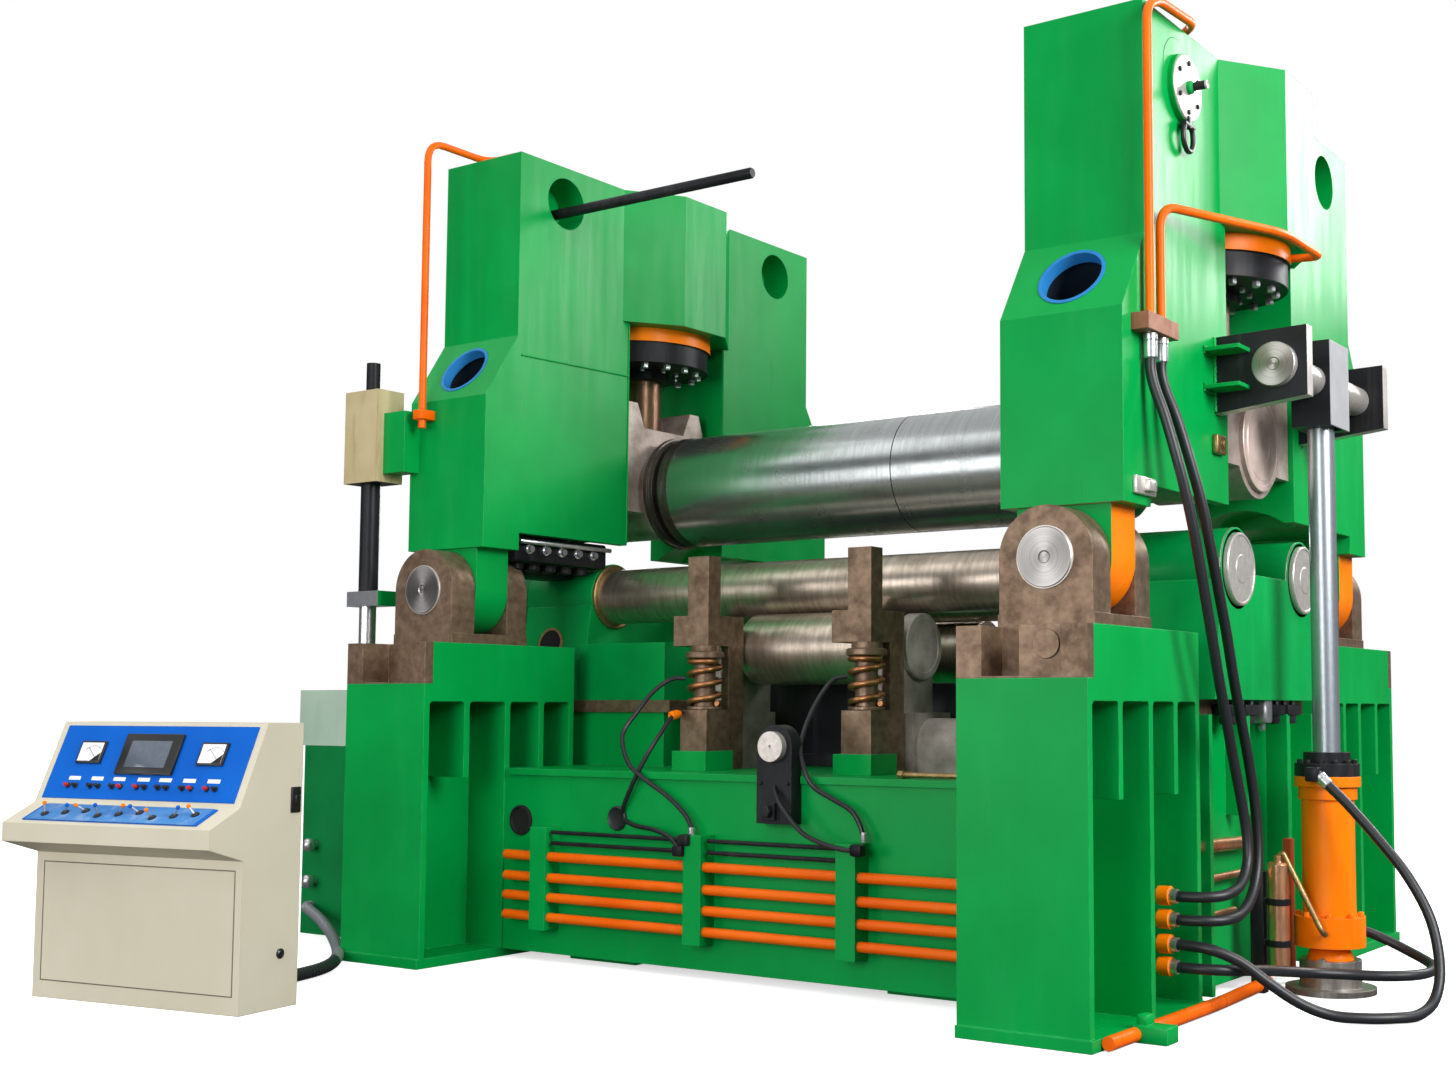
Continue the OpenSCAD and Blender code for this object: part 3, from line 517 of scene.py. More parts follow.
hoseRoutes = {
    "hoseA": offFrame([
        (0.045, -1.525, 3.095), (0.045, -1.525, 3.02), (0.065, -1.525, 2.93), (0.11, -1.52, 2.8), (0.16, -1.5, 2.6),
        (0.19, -1.45, 2.4), (0.205, -1.39, 2.2), (0.21, -1.32, 2.0), (0.21, -1.24, 1.8), (0.205, -1.15, 1.6),
        (0.2, -1.05, 1.4), (0.195, -0.95, 1.2), (0.2, -0.87, 1.0), (0.21, -0.835, 0.84), (0.218, -0.855, 0.71),
        (0.217, -0.945, 0.615), (0.189, -1.0525, 0.577), (0.1175, -1.124, 0.567), (0.02, -1.15, 0.566),
        (-0.015, -1.15, 0.566)]),
    "hoseB": offFrame([
        (0.045, -1.403, 3.095), (0.045, -1.403, 3.02), (0.068, -1.402, 2.93), (0.115, -1.39, 2.8), (0.165, -1.36, 2.6),
        (0.2, -1.31, 2.4), (0.215, -1.25, 2.2), (0.22, -1.17, 2.0), (0.22, -1.08, 1.8), (0.215, -0.99, 1.6),
        (0.21, -0.89, 1.4), (0.21, -0.8, 1.2), (0.212, -0.735, 1.0), (0.218, -0.715, 0.82), (0.224, -0.745, 0.665),
        (0.226, -0.83, 0.55), (0.219, -0.945, 0.481), (0.189, -1.0525, 0.46), (0.1175, -1.124, 0.4565),
        (0.02, -1.15, 0.456), (-0.015, -1.15, 0.456)]),
    "hoseC": [
        (outerX - 0.015, -1.15, 0.34), (outerX + 0.02, -1.15, 0.34), (2.52, -1.14, 0.328), (2.64, -1.085, 0.275),
        (2.76, -1.03, 0.18), (2.88, -0.96, 0.09), (3.0, -0.89, 0.038), (3.13, -0.83, 0.028), (3.25, -0.74, 0.028),
        (3.33, -0.62, 0.034), (3.365, -0.48, 0.09), (3.365, -0.39, 0.23), (3.31, -0.33, 0.44), (3.19, -0.29, 0.64),
        (3.05, -0.26, 0.8), (2.9, -0.232, 0.955), (2.8, -0.217, 1.047), (2.715, -0.207, 1.123)],
    "hoseD": [
        (outerX - 0.015, -1.15, 0.235), (outerX + 0.04, -1.15, 0.235), (2.49, -1.137, 0.234), (2.575, -1.082, 0.23),
        (2.632, -0.98, 0.222), (2.66, -0.84, 0.207), (2.69, -0.64, 0.18), (2.755, -0.45, 0.155), (2.89, -0.325, 0.143),
        (3.06, -0.25, 0.14), (3.18, -0.12, 0.14), (3.21, 0.03, 0.145), (3.16, 0.17, 0.16), (3.03, 0.255, 0.2),
        (2.91, 0.268, 0.248), (2.81, 0.245, 0.288), (2.715, 0.212, 0.315)],
    "springHoseLeft": [
        (-0.648, -1.178, 1.62), (-0.71, -1.225, 1.614), (-0.772, -1.3, 1.551), (-0.836, -1.38, 1.425),
        (-0.861, -1.47, 1.296), (-0.741, -1.556, 1.148), (-0.625, -1.56, 1.063), (-0.458, -1.56, 0.974),
        (-0.332, -1.565, 0.887), (-0.273, -1.57, 0.815), (-0.262, -1.575, 0.772)],
    "grommetHoseUp": [
        (-0.813, -1.512, 0.85), (-0.785, -1.537, 0.905), (-0.69, -1.556, 1.055), (-0.625, -1.528, 1.19),
        (-0.615, -1.425, 1.312), (-0.642, -1.3, 1.398), (-0.64, -1.215, 1.425)],
    "grommetHoseRight": [
        (-0.8, -1.512, 0.826), (-0.74, -1.54, 0.812), (-0.657, -1.56, 0.798), (-0.535, -1.58, 0.788),
        (-0.405, -1.6, 0.756), (-0.33, -1.61, 0.705), (-0.304, -1.615, 0.69)],
    "springHoseRight": [
        (0.472, -1.172, 1.622), (0.405, -1.225, 1.592), (0.375, -1.35, 1.445), (0.405, -1.5, 1.262),
        (0.469, -1.556, 1.135), (0.533, -1.56, 1.045), (0.653, -1.56, 0.987), (0.772, -1.565, 0.931),
        (0.83, -1.57, 0.858), (0.855, -1.575, 0.79)],
    "bracketHose": [
        (0.311, -1.602, 1.043), (0.345, -1.635, 1.005), (0.404, -1.65, 0.933), (0.517, -1.645, 0.819),
        (0.642, -1.64, 0.768), (0.758, -1.64, 0.745), (0.836, -1.64, 0.741)],
}
hosePaths = {name: flowing(route, 5) for name, route in hoseRoutes.items()}
hoses = {}
for name, path in hosePaths.items():
    crossing = name in ("hoseA", "hoseB", "hoseC", "hoseD")
    r = hoseKit["big" if crossing else "small"]
    hoses[name] = piece(name, [tube(path, r, 14 if crossing else 10)], "rubber", None if crossing else "base")
for name in ("hoseA", "hoseB"):
    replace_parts(hoses[name], "hoses_tilt")
    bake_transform(hoses[name])
for name in ("hoseC", "hoseD"):
    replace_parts(hoses[name], "hoses_floor")
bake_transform(hoses["hoseC"])
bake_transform(hoses["hoseD"])
# elbow blocks with sleeves where the floor hoses enter the cylinder
piece("portElbows", [softBox((cylinderX - 0.036, -0.247, 1.082), (cylinderX + 0.036, -0.16, 1.156), 0.01),
                     softBox((cylinderX - 0.036, 0.175, 0.278), (cylinderX + 0.036, 0.25, 0.35), 0.01)],
      "black", "cylinder_barrel")
elbowSleeve = [(0.026, 0), (0.033, 0.004), (0.033, 0.022), (0.0305, 0.026), (0.0305, 0.066), (0.027, 0.07)]
piece("portSleeves", [spun((cylinderX + 0.03, -0.208, 1.11), (0.735, -0.09, -0.672), elbowSleeve, 24),
                      spun((cylinderX + 0.032, 0.218, 0.31), (0.92, 0.31, -0.25), elbowSleeve, 24)],
      "silver", "cylinder_barrel", 30)
print("hoses laid:", len(hoses))

# rigid pipes with smooth bends, and the long bar in the left frame
pipeKit = {"radius": 0.022, "bend": 0.13, "thin": 0.012}
pipeX, frontPipeY, rearPipeY = outerX + 0.045, -1.525, -1.403
pipeRoutes = {
    "leftPipe": [(-1.95, -1.3, 4.825), (-1.95, -1.3, 4.885), (-2.2, -1.3, 4.885), (-2.2, -1.8, 4.885),
                 (-2.2, -1.8, 3.12)],
    "rightPipeFront": [(outerX - 0.05, -0.85, 4.827), (outerX - 0.05, -0.88, 4.86), (pipeX, -0.97, 4.86),
                       (pipeX, -1.4, 4.83), (pipeX, frontPipeY, 4.76), (pipeX, frontPipeY, 3.272)],
    "rightPipeRear": [(2.494, 0.163, 3.91), (outerX + 0.27, 0.217, 3.91), (outerX + 0.27, -0.33, 3.91),
                      (pipeX, rearPipeY, 3.83), (pipeX, rearPipeY, 3.272)],
}


def bentPipe(name, body):
    path = rounded(pipeRoutes[name], pipeKit["bend"], 7)
    return piece(name, [tube(path, pipeKit["radius"], 16)], "pipeOrange", body)


bar = spun((-1.955, -1.11, 4.53), alongX, [(0.032, 0), (0.032, 1.7), (0.026, 1.71)], 28)
clamp = softBox((-2.24, -1.84, 3.17), (-2.16, -1.73, 3.23), 0.008)
for o in (bentPipe("leftPipe", "base"), piece("gaugeBar", [bar], "black"), piece("pipeClamp", [clamp], "pipeOrange")):
    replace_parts(o, "pipes_left")
for name in ("rightPipeFront", "rightPipeRear"):
    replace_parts(bentPipe(name, "tilt_frame"), "pipes_right")
thin = [tube([(a, -1.6, z), (b, -1.6, z)], pipeKit["thin"], 10)
        for z in (0.743, 0.682) for a, b in ((-1.27, -0.21), (-0.13, 0.77))]
tees = [softBox((x - 0.035, -1.66, z - 0.03), (x + 0.035, -1.6, z + 0.03), 0.012)
        for x, z in ((-0.3, 0.685), (0.855, 0.742), (-0.262, 0.745))]
piece("thinPipes", thin + tees, "black")
ferrule = [(0.017, 0), (0.019, 0.012), (0.019, 0.045), (0.015, 0.05)]
piece("hoseFerrules", [spun(p, upward, ferrule, 16) for p in ((-0.264, -1.573, 0.758), (0.855, -1.573, 0.778))],
      "silver")
grommet = [(0.068, 0), (0.068, 0.012), (0.06, 0.018), (0.05, 0.012), (0.0005, 0.011)]
piece("grommet", [spun((-0.85, -1.511, 0.833), toFront, grommet, 32)], "rubber")
# dark disc in the port's mouth: painted shade
port = [(0.088, 0), (0.088, 0.012), (0.074, 0.016), (0.07, 0.004), (0.0005, 0.003)]
piece("bedPort", [spun((-1.6, -1.511, 0.795), toFront, port, 32)], "dark")
clip = [(0.02, 0), (0.026, 0.006), (0.026, 0.05), (0.016, 0.075)]
piece("cableClip", [spun((-0.65, -1.305, 1.403), (0.1, 0.9, 0.2), clip, 18)], "orange")
print("pipes bent")

# springs on the guide columns
springKit = {"x": (-0.57, 0.55), "y": 1.1, "radius": 0.087, "wire": 0.0165, "low": 1.476, "high": 1.715, "turns": 4}
lowSeat = [(0.095, 0), (0.1, 0.004), (0.1, 0.018), (0.092, 0.022)]
highSeat = [(0.104, 0), (0.11, 0.006), (0.11, 0.034), (0.1, 0.04), (0.082, 0.042), (0.082, 0.074)]
coils, seats = [], []
for x in springKit["x"]:
    for y in (-springKit["y"], springKit["y"]):
        coils.append(coil((x, y), *(springKit[k] for k in ("radius", "wire", "low", "high", "turns"))))
        seats.append(spun((x, y, 1.438), upward, lowSeat, 28))
        seats.append(spun((x, y, 1.732), upward, highSeat, 32))
springs = piece("columnSprings", coils, "copper", smooth=60)
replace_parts(springs, "column_springs")
piece("springSeats", seats, "brown")
print("springs wound:", len(coils))

# bolts and turned faces
boltKit = {"seat": 0.024, "gland": 0.015, "small": 0.012}
for x, hand, body in frameSides:
    ringBolts = boltCircle((x, 0, 3.73), downward, 0.385, 16, boltKit["seat"], 0.034)
    ringBolts += boltCircle((x, 0, 3.73), downward, 0.245, 10, boltKit["seat"] * 0.7, 0.026, 0.2)
    piece("seatBolts" + hand, ringBolts, "silver", body, 25)
piece("glandBolts", boltCircle((cylinderX, 0, 1.17), upward, 0.142, 12, boltKit["gland"], 0.02, 0.1),
      "black", "cylinder_barrel", 25)
piece("collarBolts", boltCircle((cylinderX, 0, 0.389), upward, 0.157, 8, boltKit["gland"], 0.022, 0.3),
      "orange", "cylinder_barrel", 25)
disc = [(0.262, 0.0), (0.258, 0.004), (0.232, 0.004), (0.228, 0.001), (0.205, 0.001), (0.201, 0.005), (0.118, 0.005),
        (0.112, 0.002), (0.0005, 0.002)]
piece("chockFace", [spun((2.37, 0, topRollZ), alongX, disc, 64)], "facedLitCast", "right_press", 25)
band = [(0.3, 0), (0.35, 0), (0.3625, 0.012), (0.3625, 0.05), (0.3612, 0.054), (0.3612, 0.088), (0.359, 0.09)]
piece("rollBand", [spun((-1.603, 0, topRollZ), alongX, band, 96)], "collar", "roll_top", 25)
chockRing = [(0.286, 0), (0.372, 0), (0.372, 0.03), (0.358, 0.034), (0.358, 0.064), (0.286, 0.066)]
piece("chockRing", [spun((-1.702, 0, topRollZ), alongX, chockRing, 80)], "collar", "left_press", 25)


def onBottomRolls(x, profile, hollow=False):
    return [spun((x, y, bottomRollZ), alongX, profile, 48, hollow) for y in (-bottomRollY, bottomRollY)]


cover = [(0.187, 0.0), (0.183, 0.005), (0.172, 0.005), (0.169, 0.001), (0.075, 0.001), (0.07, 0.004), (0.0005, 0.004)]
rim = [(0.19, 0), (0.2155, 0), (0.2155, 0.006), (0.205, 0.012), (0.19, 0.012)]
collar = [(0.206, 0), (0.206, 0.014), (0.196, 0.02), (0.178, 0.02)]
piece("coverFaces", onBottomRolls(2.432, cover), "turned", smooth=25)
piece("housingRims", onBottomRolls(2.398, rim, True), "turned", smooth=25)
piece("rollCollars", onBottomRolls(-1.85, collar), "bronze", smooth=25)
pinEnd = [(0.14, 0), (0.136, 0.005), (0.03, 0.005), (0.024, 0.001), (0.0005, 0.001)]
for x, hand, body in frameSides:
    pinEnds = [spun((x, w * 1.896, pinZ), (0, w, 0), pinEnd, 48) for w in (-1, 1)]
    piece("pinFaces" + hand, pinEnds, "pin" + hand, smooth=25)
tiltEnd = [(0.1118, 0), (0.1085, 0.004), (0.034, 0.004), (0.028, 0.0015), (0.0005, 0.0015)]
piece("tiltPinFace", [spun((cylinderX, w * 0.69, tiltPinZ), (0, w, 0), tiltEnd, 48) for w in (-1, 1)],
      "pinTilt", "tilt_frame", 15)
cap = [(0.187, 0), (0.182, 0.006), (0.15, 0.006), (0.146, 0.002), (0.0005, 0.002)]
piece("supportCaps", [spun((x, y, 1.797), (x, 0, 0), cap, 48) for x in (-0.835, 0.6) for y in (-0.6, 0.6)],
      "shadedCast", smooth=25)
screws = [hexBolt((x, -1.601, z), toFront, boltKit["small"], 0.012) for x in (0.222, 0.395) for z in (0.905, 1.06)]
piece("bracketScrews", screws + [hexBolt((0.285, -1.625, 0.915), toFront, 0.034, 0.028)], "black", smooth=25)
seam = [(0.3602, -0.0035), (0.3606, 0), (0.3602, 0.0035)]
piece("rollSeam", [spun((0.215, 0, topRollZ), alongX, seam, 96)], "dark", "roll_top", 60)
print("bolts and faces on")

# fittings of the drop end
coverAt = np.array([outerX, -1.03, 4.515])


def onCover(profile, around, hollow=False):
    return spun(coverAt, alongX, profile, around, hollow)


blank = [(0.1605, -0.02), (0.1605, 0.001), (0.158, 0.002), (0.0005, 0.002)]
piece("blankPlate", [spun((outerX, -1.085, 4.595), alongX, blank, 56)], "green", "tilt_frame", 15)
piece("coverRing", [onCover([(0.16, -0.02), (0.172, -0.02), (0.172, 0.03), (0.16, 0.03)], 56, True),
                    onCover([(0.034, 0.03), (0.034, 0.06), (0.022, 0.066), (0.022, 0.07)], 24)],
      "green", "tilt_frame", 25)
piece("roundCover", [onCover([(0.166, 0.0), (0.166, 0.034), (0.16, 0.04), (0.0005, 0.04)], 56),
                     onCover([(0.018, 0.13), (0.021, 0.131), (0.021, 0.14), (0.014, 0.142), (0.012, 0.136)], 24)],
      "turned", "tilt_frame", 25)
# threaded stub: radius steps out and in along its length
thread = [(0.02, 0.05)] + [(0.02 + 0.002 * (i % 2), 0.06 + 0.005 * i) for i in range(15)]
piece("coverStub", [onCover(thread, 24)] + boltCircle(coverAt + [0.039, 0, 0], alongX, 0.125, 6, 0.014, 0.012, 0.5),
      "black", "tilt_frame", 25)
# shackle: three quarters of an ellipse, open at the top where its pin passes
a = np.linspace(-0.25 * math.pi, 1.25 * math.pi, 26)
bow = np.column_stack([np.full_like(a, outerX + 0.035), -1.03 + 0.06 * np.cos(a), 4.27 - 0.075 * np.sin(a)])
piece("shackle", [tube(bow, 0.014, 12),
                  tube([(outerX + 0.035, -1.09, 4.325), (outerX + 0.035, -0.97, 4.325)], 0.017, 12),
                  softBox((outerX - 0.002, -1.05, 4.31), (outerX + 0.05, -1.01, 4.37), 0.006)],
      "knob", "tilt_frame")
piece("brassStop", [softBox((outerX - 0.002, -0.7, 2.735), (outerX + 0.035, -0.575, 2.835), 0.012),
                    hexBolt((outerX + 0.035, -0.637, 2.785), alongX, 0.022, 0.014)], "bronze", "tilt_frame", 30)
weldX, seamX = outerX + 0.003, -1.733
beads = [weldBead((weldX, s * 0.655, 2.95), (weldX, s * 0.655, 3.335), 0.011) for s in (-1, 1)]
beads += [weldBead((weldX, s * 0.655, z), (weldX, s * 0.8, z), 0.009)
          for s in (-1, 1) for z in (3.046, 3.074, 3.236, 3.264)]
piece("plateWelds", beads, "green", "tilt_frame", 60)
piece("frameSeam", [weldBead((seamX, -1.45, 3.575), (seamX, -0.49, 3.6), 0.006)]
      + [weldBead((seamX, y, 2.51), (seamX, y, 3.94), 0.006) for y in (-0.49, 0.49)], "green", smooth=60)
# thin liner round the mouth of each slanted hole
liner = [(0.154, -0.06), (0.154, 0.004), (0.1725, 0.004), (0.1725, -0.06)]
for x, hand, body in frameSides:
    liners = [spun((x, w * holeY, holeZ), (0, w * holeOut, holeUp), liner, 56, True) for w in (-1, 1)]
    piece("holeLiners" + hand, liners, "rim", body, 25)
sleeve = [(0.03, 0), (0.034, 0.004), (0.034, 0.03), (0.03, 0.034), (0.033, 0.038), (0.033, 0.112), (0.028, 0.118)]
piece("hoseSleeves", [spun((pipeX, y, 3.19), downward, sleeve, 28) for y in (frontPipeY, rearPipeY)],
      "silver", "tilt_frame", 30)
piece("hoseHolder", [softBox((outerX - 0.002, -1.64, 2.435), (outerX + 0.022, -1.42, 2.52), 0.006),
                     softBox((outerX - 0.002, -1.56, 2.45), (outerX + 0.05, -1.47, 2.505), 0.008)],
      "turned", "tilt_frame", 30)
print("drop end fitted")

# beside the tilt cylinder: copper-toned tube, clamps, pale pipe, pipes and valves at the bed end, floor rail
tubeX, tubeY = 2.515, -0.235
# copper tone on the tube beside the cylinder stands for the orange barrel mirrored in chrome: painted reflection
copperTonedTube = [(0.045, 0), (0.055, 0.012), (0.055, 0.556), (0.045, 0.568), (0.022, 0.57), (0.022, 0.6)]
piece("copperTonedTube", [spun((tubeX, tubeY, 0.1), upward, copperTonedTube, 36)], "copperAndReflection")
clampBand = [(0.0555, 0), (0.061, 0.002), (0.061, 0.033), (0.0555, 0.035)]
piece("tubeClamps", [spun((tubeX, tubeY, z), upward, clampBand, 36) for z in (0.24, 0.45)]
      + [softBox((2.44, -0.26, z), (2.52, -0.21, z + 0.03), 0.006) for z in (0.242, 0.452)]
      + [softBox((2.37, -0.265, 0.0), (2.445, -0.205, 0.62), 0.006)], "black", smooth=30)
paleRoute = rounded([(tubeX, tubeY, 0.69), (2.54, tubeY, 0.72), (2.6, -0.232, 0.6), (2.735, -0.222, 0.33),
                     (2.745, -0.196, 0.31)], 0.05, 6)
pale = piece("palePipe", [tube(paleRoute, 0.015, 14)], "bronze", None)
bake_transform(pale)
piece("bedEndPipes", [tube([(2.315, -0.93, 0.775), (2.315, -0.09, 0.755)], 0.034, 18),
                      tube([(2.3, -0.93, 0.6), (2.3, -0.14, 0.6)], 0.02, 14),
                      tube([(2.3, -0.93, 0.42), (2.3, -0.3, 0.42)], 0.016, 14)], "copperAndReflection")
clampBlocks, clampNuts = [], []
for y in (-0.45, -0.2, 0.17, 0.42):
    clampBlocks.append(softBox((2.3, y - 0.1, 1.415), (2.385, y + 0.1, 1.475), 0.012))
    clampBlocks.append(softBox((2.31, y - 0.045, 1.37), (2.375, y + 0.045, 1.42), 0.01))
    clampNuts += [hexBolt((2.34, y + d, 1.475), upward, 0.016, 0.02) for d in (-0.065, 0.065)]
clampNuts += [softBox((2.3, -0.045, 1.375), (2.4, 0.035, 1.52), 0.014),
              hexBolt((2.35, -0.005, 1.52), upward, 0.026, 0.045),
              hexBolt((2.35, -0.005, 1.375), downward, 0.022, 0.04)]
piece("clampBlocks", clampBlocks, "black", smooth=30)
piece("clampNuts", clampNuts, "silver", smooth=30)
piece("redPlate", [softBox((2.4, 0.14, 0.03), (2.44, 0.215, 0.76), 0.006)], "rustOrange")
glandRing = [(0.1652, 0), (0.169, 0.001), (0.169, 0.052), (0.1652, 0.054)]
piece("glandRing", [spun((cylinderX, 0, 1.05), upward, glandRing, 56, True)], "orange", "cylinder_barrel", 25)
rail = rounded([(2.445, -2.08, 0.036), (2.445, -0.9, 0.036), (2.4, -0.1, 0.036)], 0.2, 8)
piece("floorRail", [tube(rail, 0.032, 18)], "pipeOrange")
piece("railFoot", [softBox((2.43, -1.82, 0.0), (2.6, -1.7, 0.075), 0.006),
                   softBox((2.44, -1.8, 0.07), (2.5, -1.72, 0.12), 0.012)], "green")
print("cylinder side fitted")

# left side: valve bank under the fixed frame, port ring on the bearing housing, cocks on the cabinet
bank = [softBox((-2.32, -1.4, 2.335), (-1.8, -0.6, 2.49), 0.015),
        softBox((-2.28, -1.36, 2.27), (-2.02, -0.66, 2.34), 0.02)]
valve = [(0.045, 0), (0.045, 0.05), (0.036, 0.058)]
nozzle = [(0.03, 0), (0.03, 0.016), (0.02, 0.018), (0.02, 0.04)]
bankFittings = []
for y in (-1.3, -1.16, -1.02, -0.88, -0.74):
    bank.append(spun((-1.9, y, 2.345), downward, valve, 20))
    bankFittings.append(spun((-1.8, y, 2.41), alongX, nozzle, 16))
bankFittings.append(tube([(-1.77, -1.4, 2.452), (-1.77, -0.6, 2.452)], 0.014, 10))
piece("valveBank", bank, "black", smooth=30)
piece("valveFittings", bankFittings, "silver", smooth=30)
portAt, portOut = (-2.16, -0.722, 1.86), (0, -0.987, 0.16)
portRing = [(0.088, -0.01), (0.104, -0.01), (0.104, 0.008), (0.088, 0.008)]
piece("portRing", [spun(portAt, portOut, portRing, 40, True)], "bronze", smooth=25)
# dark disc inside the port ring: painted shade
piece("portDark", [spun(portAt, portOut, [(0.089, -0.01), (0.089, 0.003), (0.0005, 0.003)], 40)], "dark")
cockBody = [(0.02, 0), (0.036, 0.016), (0.04, 0.04), (0.036, 0.064), (0.02, 0.08)]
cocks = [tube([(-3.44, -1.502, z), (-3.44, -1.56, z)], 0.022, 12) for z in (0.57, 0.34)]
cocks += [spun((-3.44, -1.56, z - 0.04), upward, cockBody, 20) for z in (0.57, 0.34)]
piece("cabinetCocks", cocks, "silver", smooth=50)
conduitPath = flowing([
    (-1.779, -3.315, 0.12), (-1.8, -3.18, 0.095), (-1.86, -3.0, 0.05), (-1.93, -2.79, 0.038), (-2.06, -2.5, 0.038),
    (-2.36, -2.19, 0.042), (-2.8, -1.87, 0.07), (-3.15, -1.68, 0.125), (-3.38, -1.585, 0.165), (-3.46, -1.545, 0.175),
    (-3.48, -1.503, 0.175)], 22)
skin = carried(conduitPath, ring(14) * 0.035)
mid = skin.mean(1, keepdims=True)
# ribbed skin: every other ring drawn in by a tenth
skin = mid + (skin - mid) * np.where(np.arange(len(skin)) % 2, 1.0, 0.9)[:, None, None]
conduit = piece("consoleConduit", [closedSkin(skin)], "conduit", smooth=20)
paintWhere("consoleConduit", "rubber", lambda x, y, z, f: y < -2.35)
piece("wedgeBeam", [softBox((-0.98, -0.17, 1.094), (0.98, 0.17, 1.6), 0.02),
                    softBox((-1.05, -0.21, 1.094), (1.05, 0.21, 1.17), 0.012)], "black", smooth=30)
oilRoute = rounded([(0.96, -1.3, 1.115), (0.98, -1.45, 1.115), (1.7, -1.45, 1.115)], 0.06, 6)
piece("oilPipe", [tube(oilRoute, 0.014, 14), hexBolt((0.985, -1.45, 1.115), alongX, 0.024, 0.03)], "bronze", smooth=40)
print("left side fitted")

# console: meters, screen, switches, levers, door and sockets, all laid out on its own two slopes
consoleKit = {"origin": (-2.658, -3.834, 0.0), "turn": 9.0, "width": 1.372, "foot": (-0.028, 0.972),
              "rise": (0.17, 0.4), "deskFoot": (-0.21, 0.88), "deskRise": (0.182, 0.092)}
turn = math.radians(consoleKit["turn"])
across = np.array([math.cos(turn), math.sin(turn), 0])
back = np.array([-math.sin(turn), math.cos(turn), 0])
up = np.array([0, 0, 1.0])
consoleAt, consoleAxes = np.array(consoleKit["origin"]), np.array([across, back, up])
wide = consoleKit["width"]


def slopeFrame(foot, rise):
    # origin and directions of a sloped board: across, up the slope, out of it
    n = math.hypot(*rise)
    climb = back * rise[0] / n + up * rise[1] / n
    return consoleAt + back * foot[0] + up * foot[1], np.array([across, climb, np.cross(across, climb)])


faceAt, faceAxes = slopeFrame(consoleKit["foot"], consoleKit["rise"])
deskAt, deskAxes = slopeFrame(consoleKit["deskFoot"], consoleKit["deskRise"])


def onFace(low, high, edge=0.003):
    return placed(softBox(low, high, edge), faceAt, faceAxes)


def onConsole(low, high, edge):
    return placed(softBox(low, high, edge), consoleAt, consoleAxes)


meters, dials, marks = [], [], []
wedgeFaces = [[0, 1, 2], [5, 4, 3], [0, 3, 4, 1], [1, 4, 5, 2], [2, 5, 3, 0]]
for u in (0.205, 0.8):
    m = u * wide
    meters.append(onFace((m - 0.085, 0.205, 0.006), (m + 0.085, 0.325, 0.02), 0.004))
    dials.append(onFace((m - 0.074, 0.216, 0.019), (m + 0.074, 0.314, 0.0215), 0.001))
    # dark corner of the dial, then its arc and needle
    wedge = [(m + 0.074, 0.216), (m + 0.074, 0.262), (m + 0.015, 0.216)]
    wedgePoints = np.array([(*p, h) for h in (0.0222, 0.0216) for p in wedge])
    t = np.linspace(0.25 * math.pi, 0.75 * math.pi, 14)
    arc = np.column_stack([m + 0.02 + 0.075 * np.cos(t), 0.222 + 0.075 * np.sin(t), np.full_like(t, 0.0225)])
    needle = [(m + 0.045, 0.235, 0.0228), (m - 0.02, 0.288, 0.0228)]
    marks += [placed(s, faceAt, faceAxes)
              for s in ((wedgePoints, wedgeFaces), tube(arc, 0.0009, 6), tube(needle, 0.0011, 6))]
m = 0.5 * wide
meters.append(onFace((m - 0.19, 0.15, 0.006), (m + 0.19, 0.365, 0.026), 0.006))
piece("meterFrames", meters, "knob", smooth=30)
piece("dialFaces", dials, "white", smooth=30)
piece("dialMarks", marks, "knob", smooth=30)
piece("screenGlass", [onFace((m - 0.135, 0.185, 0.025), (m + 0.135, 0.325, 0.0275), 0.001)], "screen")
switches, plates, caps = [], [], []
button = [(0.01, 0), (0.01, 0.014), (0.008, 0.018)]
for i, u in enumerate((0.165, 0.28, 0.39, 0.51, 0.615, 0.73, 0.845)):
    m = u * wide
    plates.append(onFace((m - 0.04, 0.118, 0.0072), (m + 0.04, 0.138, 0.0088), 0.0005))
    for d in (-0.028, 0.026):
        p = faceAt + np.array([m + d, 0.088, 0.007]) @ faceAxes
        switches.append(spun(p, faceAxes[2], [(0.015, 0), (0.015, 0.005), (0.012, 0.008)], 20))
        target = caps if (i + (d > 0)) % 3 == 0 else switches
        target.append(spun(p + faceAxes[2] * 0.008, faceAxes[2], button, 18))
piece("switchPlates", plates, "white")
piece("switches", switches, "knob", smooth=30)
piece("switchCaps", caps, "red", smooth=30)
strip = placed(softBox((0.13, 0.028, 0.007), (wide - 0.13, 0.178, 0.0095), 0.001), deskAt, deskAxes)
piece("deskStrip", [strip], "paleBlue")
sticks, balls, rings = [], [], []
ballProfile = [(0.005, 0), (0.009, 0.005), (0.01, 0.01), (0.009, 0.016), (0.004, 0.02)]
for i, u in enumerate(np.linspace(0.16, 0.86, 9)):
    p = deskAt + np.array([u * wide, 0.095 + 0.02 * ((i * 7) % 3 - 1), 0.009]) @ deskAxes
    lean = deskAxes[2] + deskAxes[0] * 0.9 * math.sin(i * 2.1) + deskAxes[1] * 0.4 * math.cos(i * 1.7)
    lean /= np.linalg.norm(lean)
    rings.append(spun(p, deskAxes[2], [(0.02, 0), (0.02, 0.005), (0.01, 0.012)], 22))
    sticks.append(tube([p, p + lean * 0.052], 0.005, 10))
    balls.append(spun(p + lean * 0.046, lean, ballProfile, 18))
piece("leverRings", rings, "knob", smooth=40)
piece("leverSticks", sticks, "silver", smooth=60)
piece("leverBalls", balls[::2], "orange", smooth=60)
piece("leverBallsBlue", balls[1::2], "blue", smooth=60)
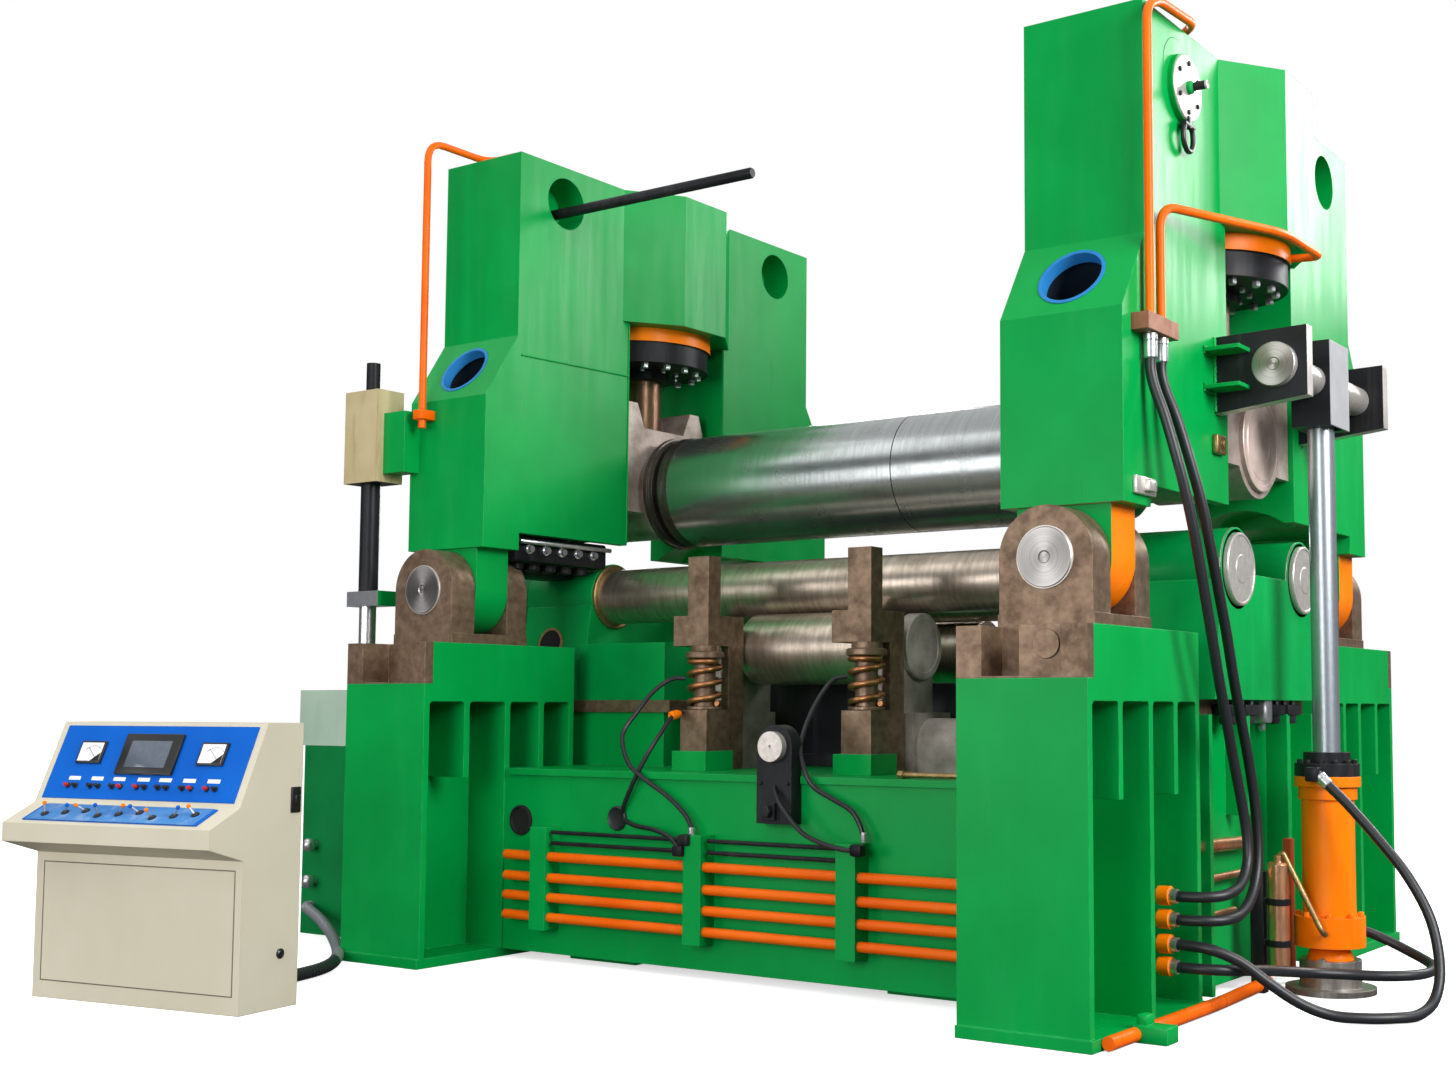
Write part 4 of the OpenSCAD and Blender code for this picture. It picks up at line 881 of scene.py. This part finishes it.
doorEdges = [((0.055, -0.0015, 0.085), (wide - 0.045, 0.003, 0.091)),
             ((0.055, -0.0015, 0.672), (wide - 0.045, 0.003, 0.678)),
             ((0.052, -0.0015, 0.085), (0.058, 0.003, 0.678)),
             ((wide - 0.048, -0.0015, 0.085), (wide - 0.042, 0.003, 0.678))]
piece("doorGap", [onConsole(a, b, 0.0005) for a, b in doorEdges], "doorShade")
plug = spun(consoleAt + np.array([wide, 0.257, 0.262]) @ consoleAxes, across,
            [(0.024, 0), (0.024, 0.006), (0.014, 0.012)], 22)
piece("consoleSocket", [onConsole((wide - 0.002, 0.3, 0.935), (wide + 0.01, 0.362, 1.06), 0.004),
                        onConsole((wide + 0.008, 0.318, 0.975), (wide + 0.018, 0.345, 1.02), 0.004), plug],
      "knob", smooth=30)
for n in ("console_body", "console_panel"):
    # stands by itself in front, so it throws no shade on the machine
    nodes[n].visible_shadow = False
print("console fitted")

# stage: pale floor and soft light, darker for reflections than for the eye
stageKit = {"sky": 0.8, "key": 1450, "fill": 900, "side": 330, "window": 450, "roll": 68, "rear": 900}


def makeFloor():
    floor = bpy.data.meshes.new("studioFloor")
    s = 60
    floor.from_pydata([(-s, -s, -0.002), (s, -s, -0.002), (s, s, -0.002), (-s, s, -0.002)], [], [(0, 1, 2, 3)])
    obj = bpy.data.objects.new("studioFloor", floor)
    scene.collection.objects.link(obj)
    m, t, shader, where = startMaterial("pale studio floor")
    seen = addNode(t, "ShaderNodeLightPath").outputs["Is Camera Ray"]
    give(t, shader, {"Base Color": blendColour(t, seen, linear("525252"), linear("ffffff")),
                     "Emission Color": (1, 1, 1, 1), "Emission Strength": spread(t, seen, 0, 1, 0, 0.62),
                     "Roughness": 0.9})
    floor.materials.append(m)


def makeSky(strength):
    # bright overhead, dim near the horizon, a little brighter to the right; plain white to the camera
    world = bpy.data.worlds.new("studio")
    world.use_nodes = True
    scene.world = world
    t = world.node_tree
    lit = t.nodes["Background"]
    where = addNode(t, "ShaderNodeTexCoord").outputs["Generated"]
    height = spread(t, vectorMath(t, "DOT_PRODUCT", where, (0.12, 0.0, 1.0))["Value"], 0.28, 0.52, 0, 1)
    give(t, lit, {"Color": blendColour(t, height, linear("5a5d61"), linear("ffffff")), "Strength": strength})
    plainWhite = addNode(t, "ShaderNodeBackground", Strength=1.0, Color=(1, 1, 1, 1))
    seen = addNode(t, "ShaderNodeLightPath").outputs["Is Camera Ray"]
    both = addNode(t, "ShaderNodeMixShader", {0: seen, 1: lit.outputs[0], 2: plainWhite.outputs[0]})
    give(t, t.nodes["World Output"], {"Surface": both.outputs[0]})


# name in stageKit, place, what it points at, size
lights = [("key", (11.5, -3.6, 6.5), (0.5, 0, 2.2), 5.0), ("fill", (2.2, -16.0, 4.0), (-0.8, 0, 1.5), 6.0),
          ("side", (-6.5, -14.0, 2.6), (-1.5, -1.5, 1.2), 5.0), ("window", (5.6, 7.2, 7.0), (0, -0.5, 3.5), 3.0),
          ("roll", (-5.2, -4.7, 8.6), (0, 0, 2.6), 4.0), ("rear", (-9.0, 9.5, 6.0), (-0.5, 0, 2.0), 6.0)]
makeFloor()
makeSky(stageKit["sky"])
for name, place, target, size in lights:
    d = bpy.data.lights.new(name + "Light", "AREA")
    d.size, d.energy = size, stageKit[name]
    o = bpy.data.objects.new(name + "Light", d)
    o.location = place
    o.rotation_mode = "QUATERNION"
    o.rotation_quaternion = (Vector(target) - Vector(place)).to_track_quat("-Z", "Y")
    scene.collection.objects.link(o)
scene.view_settings.view_transform = "Standard"
print("stage set")
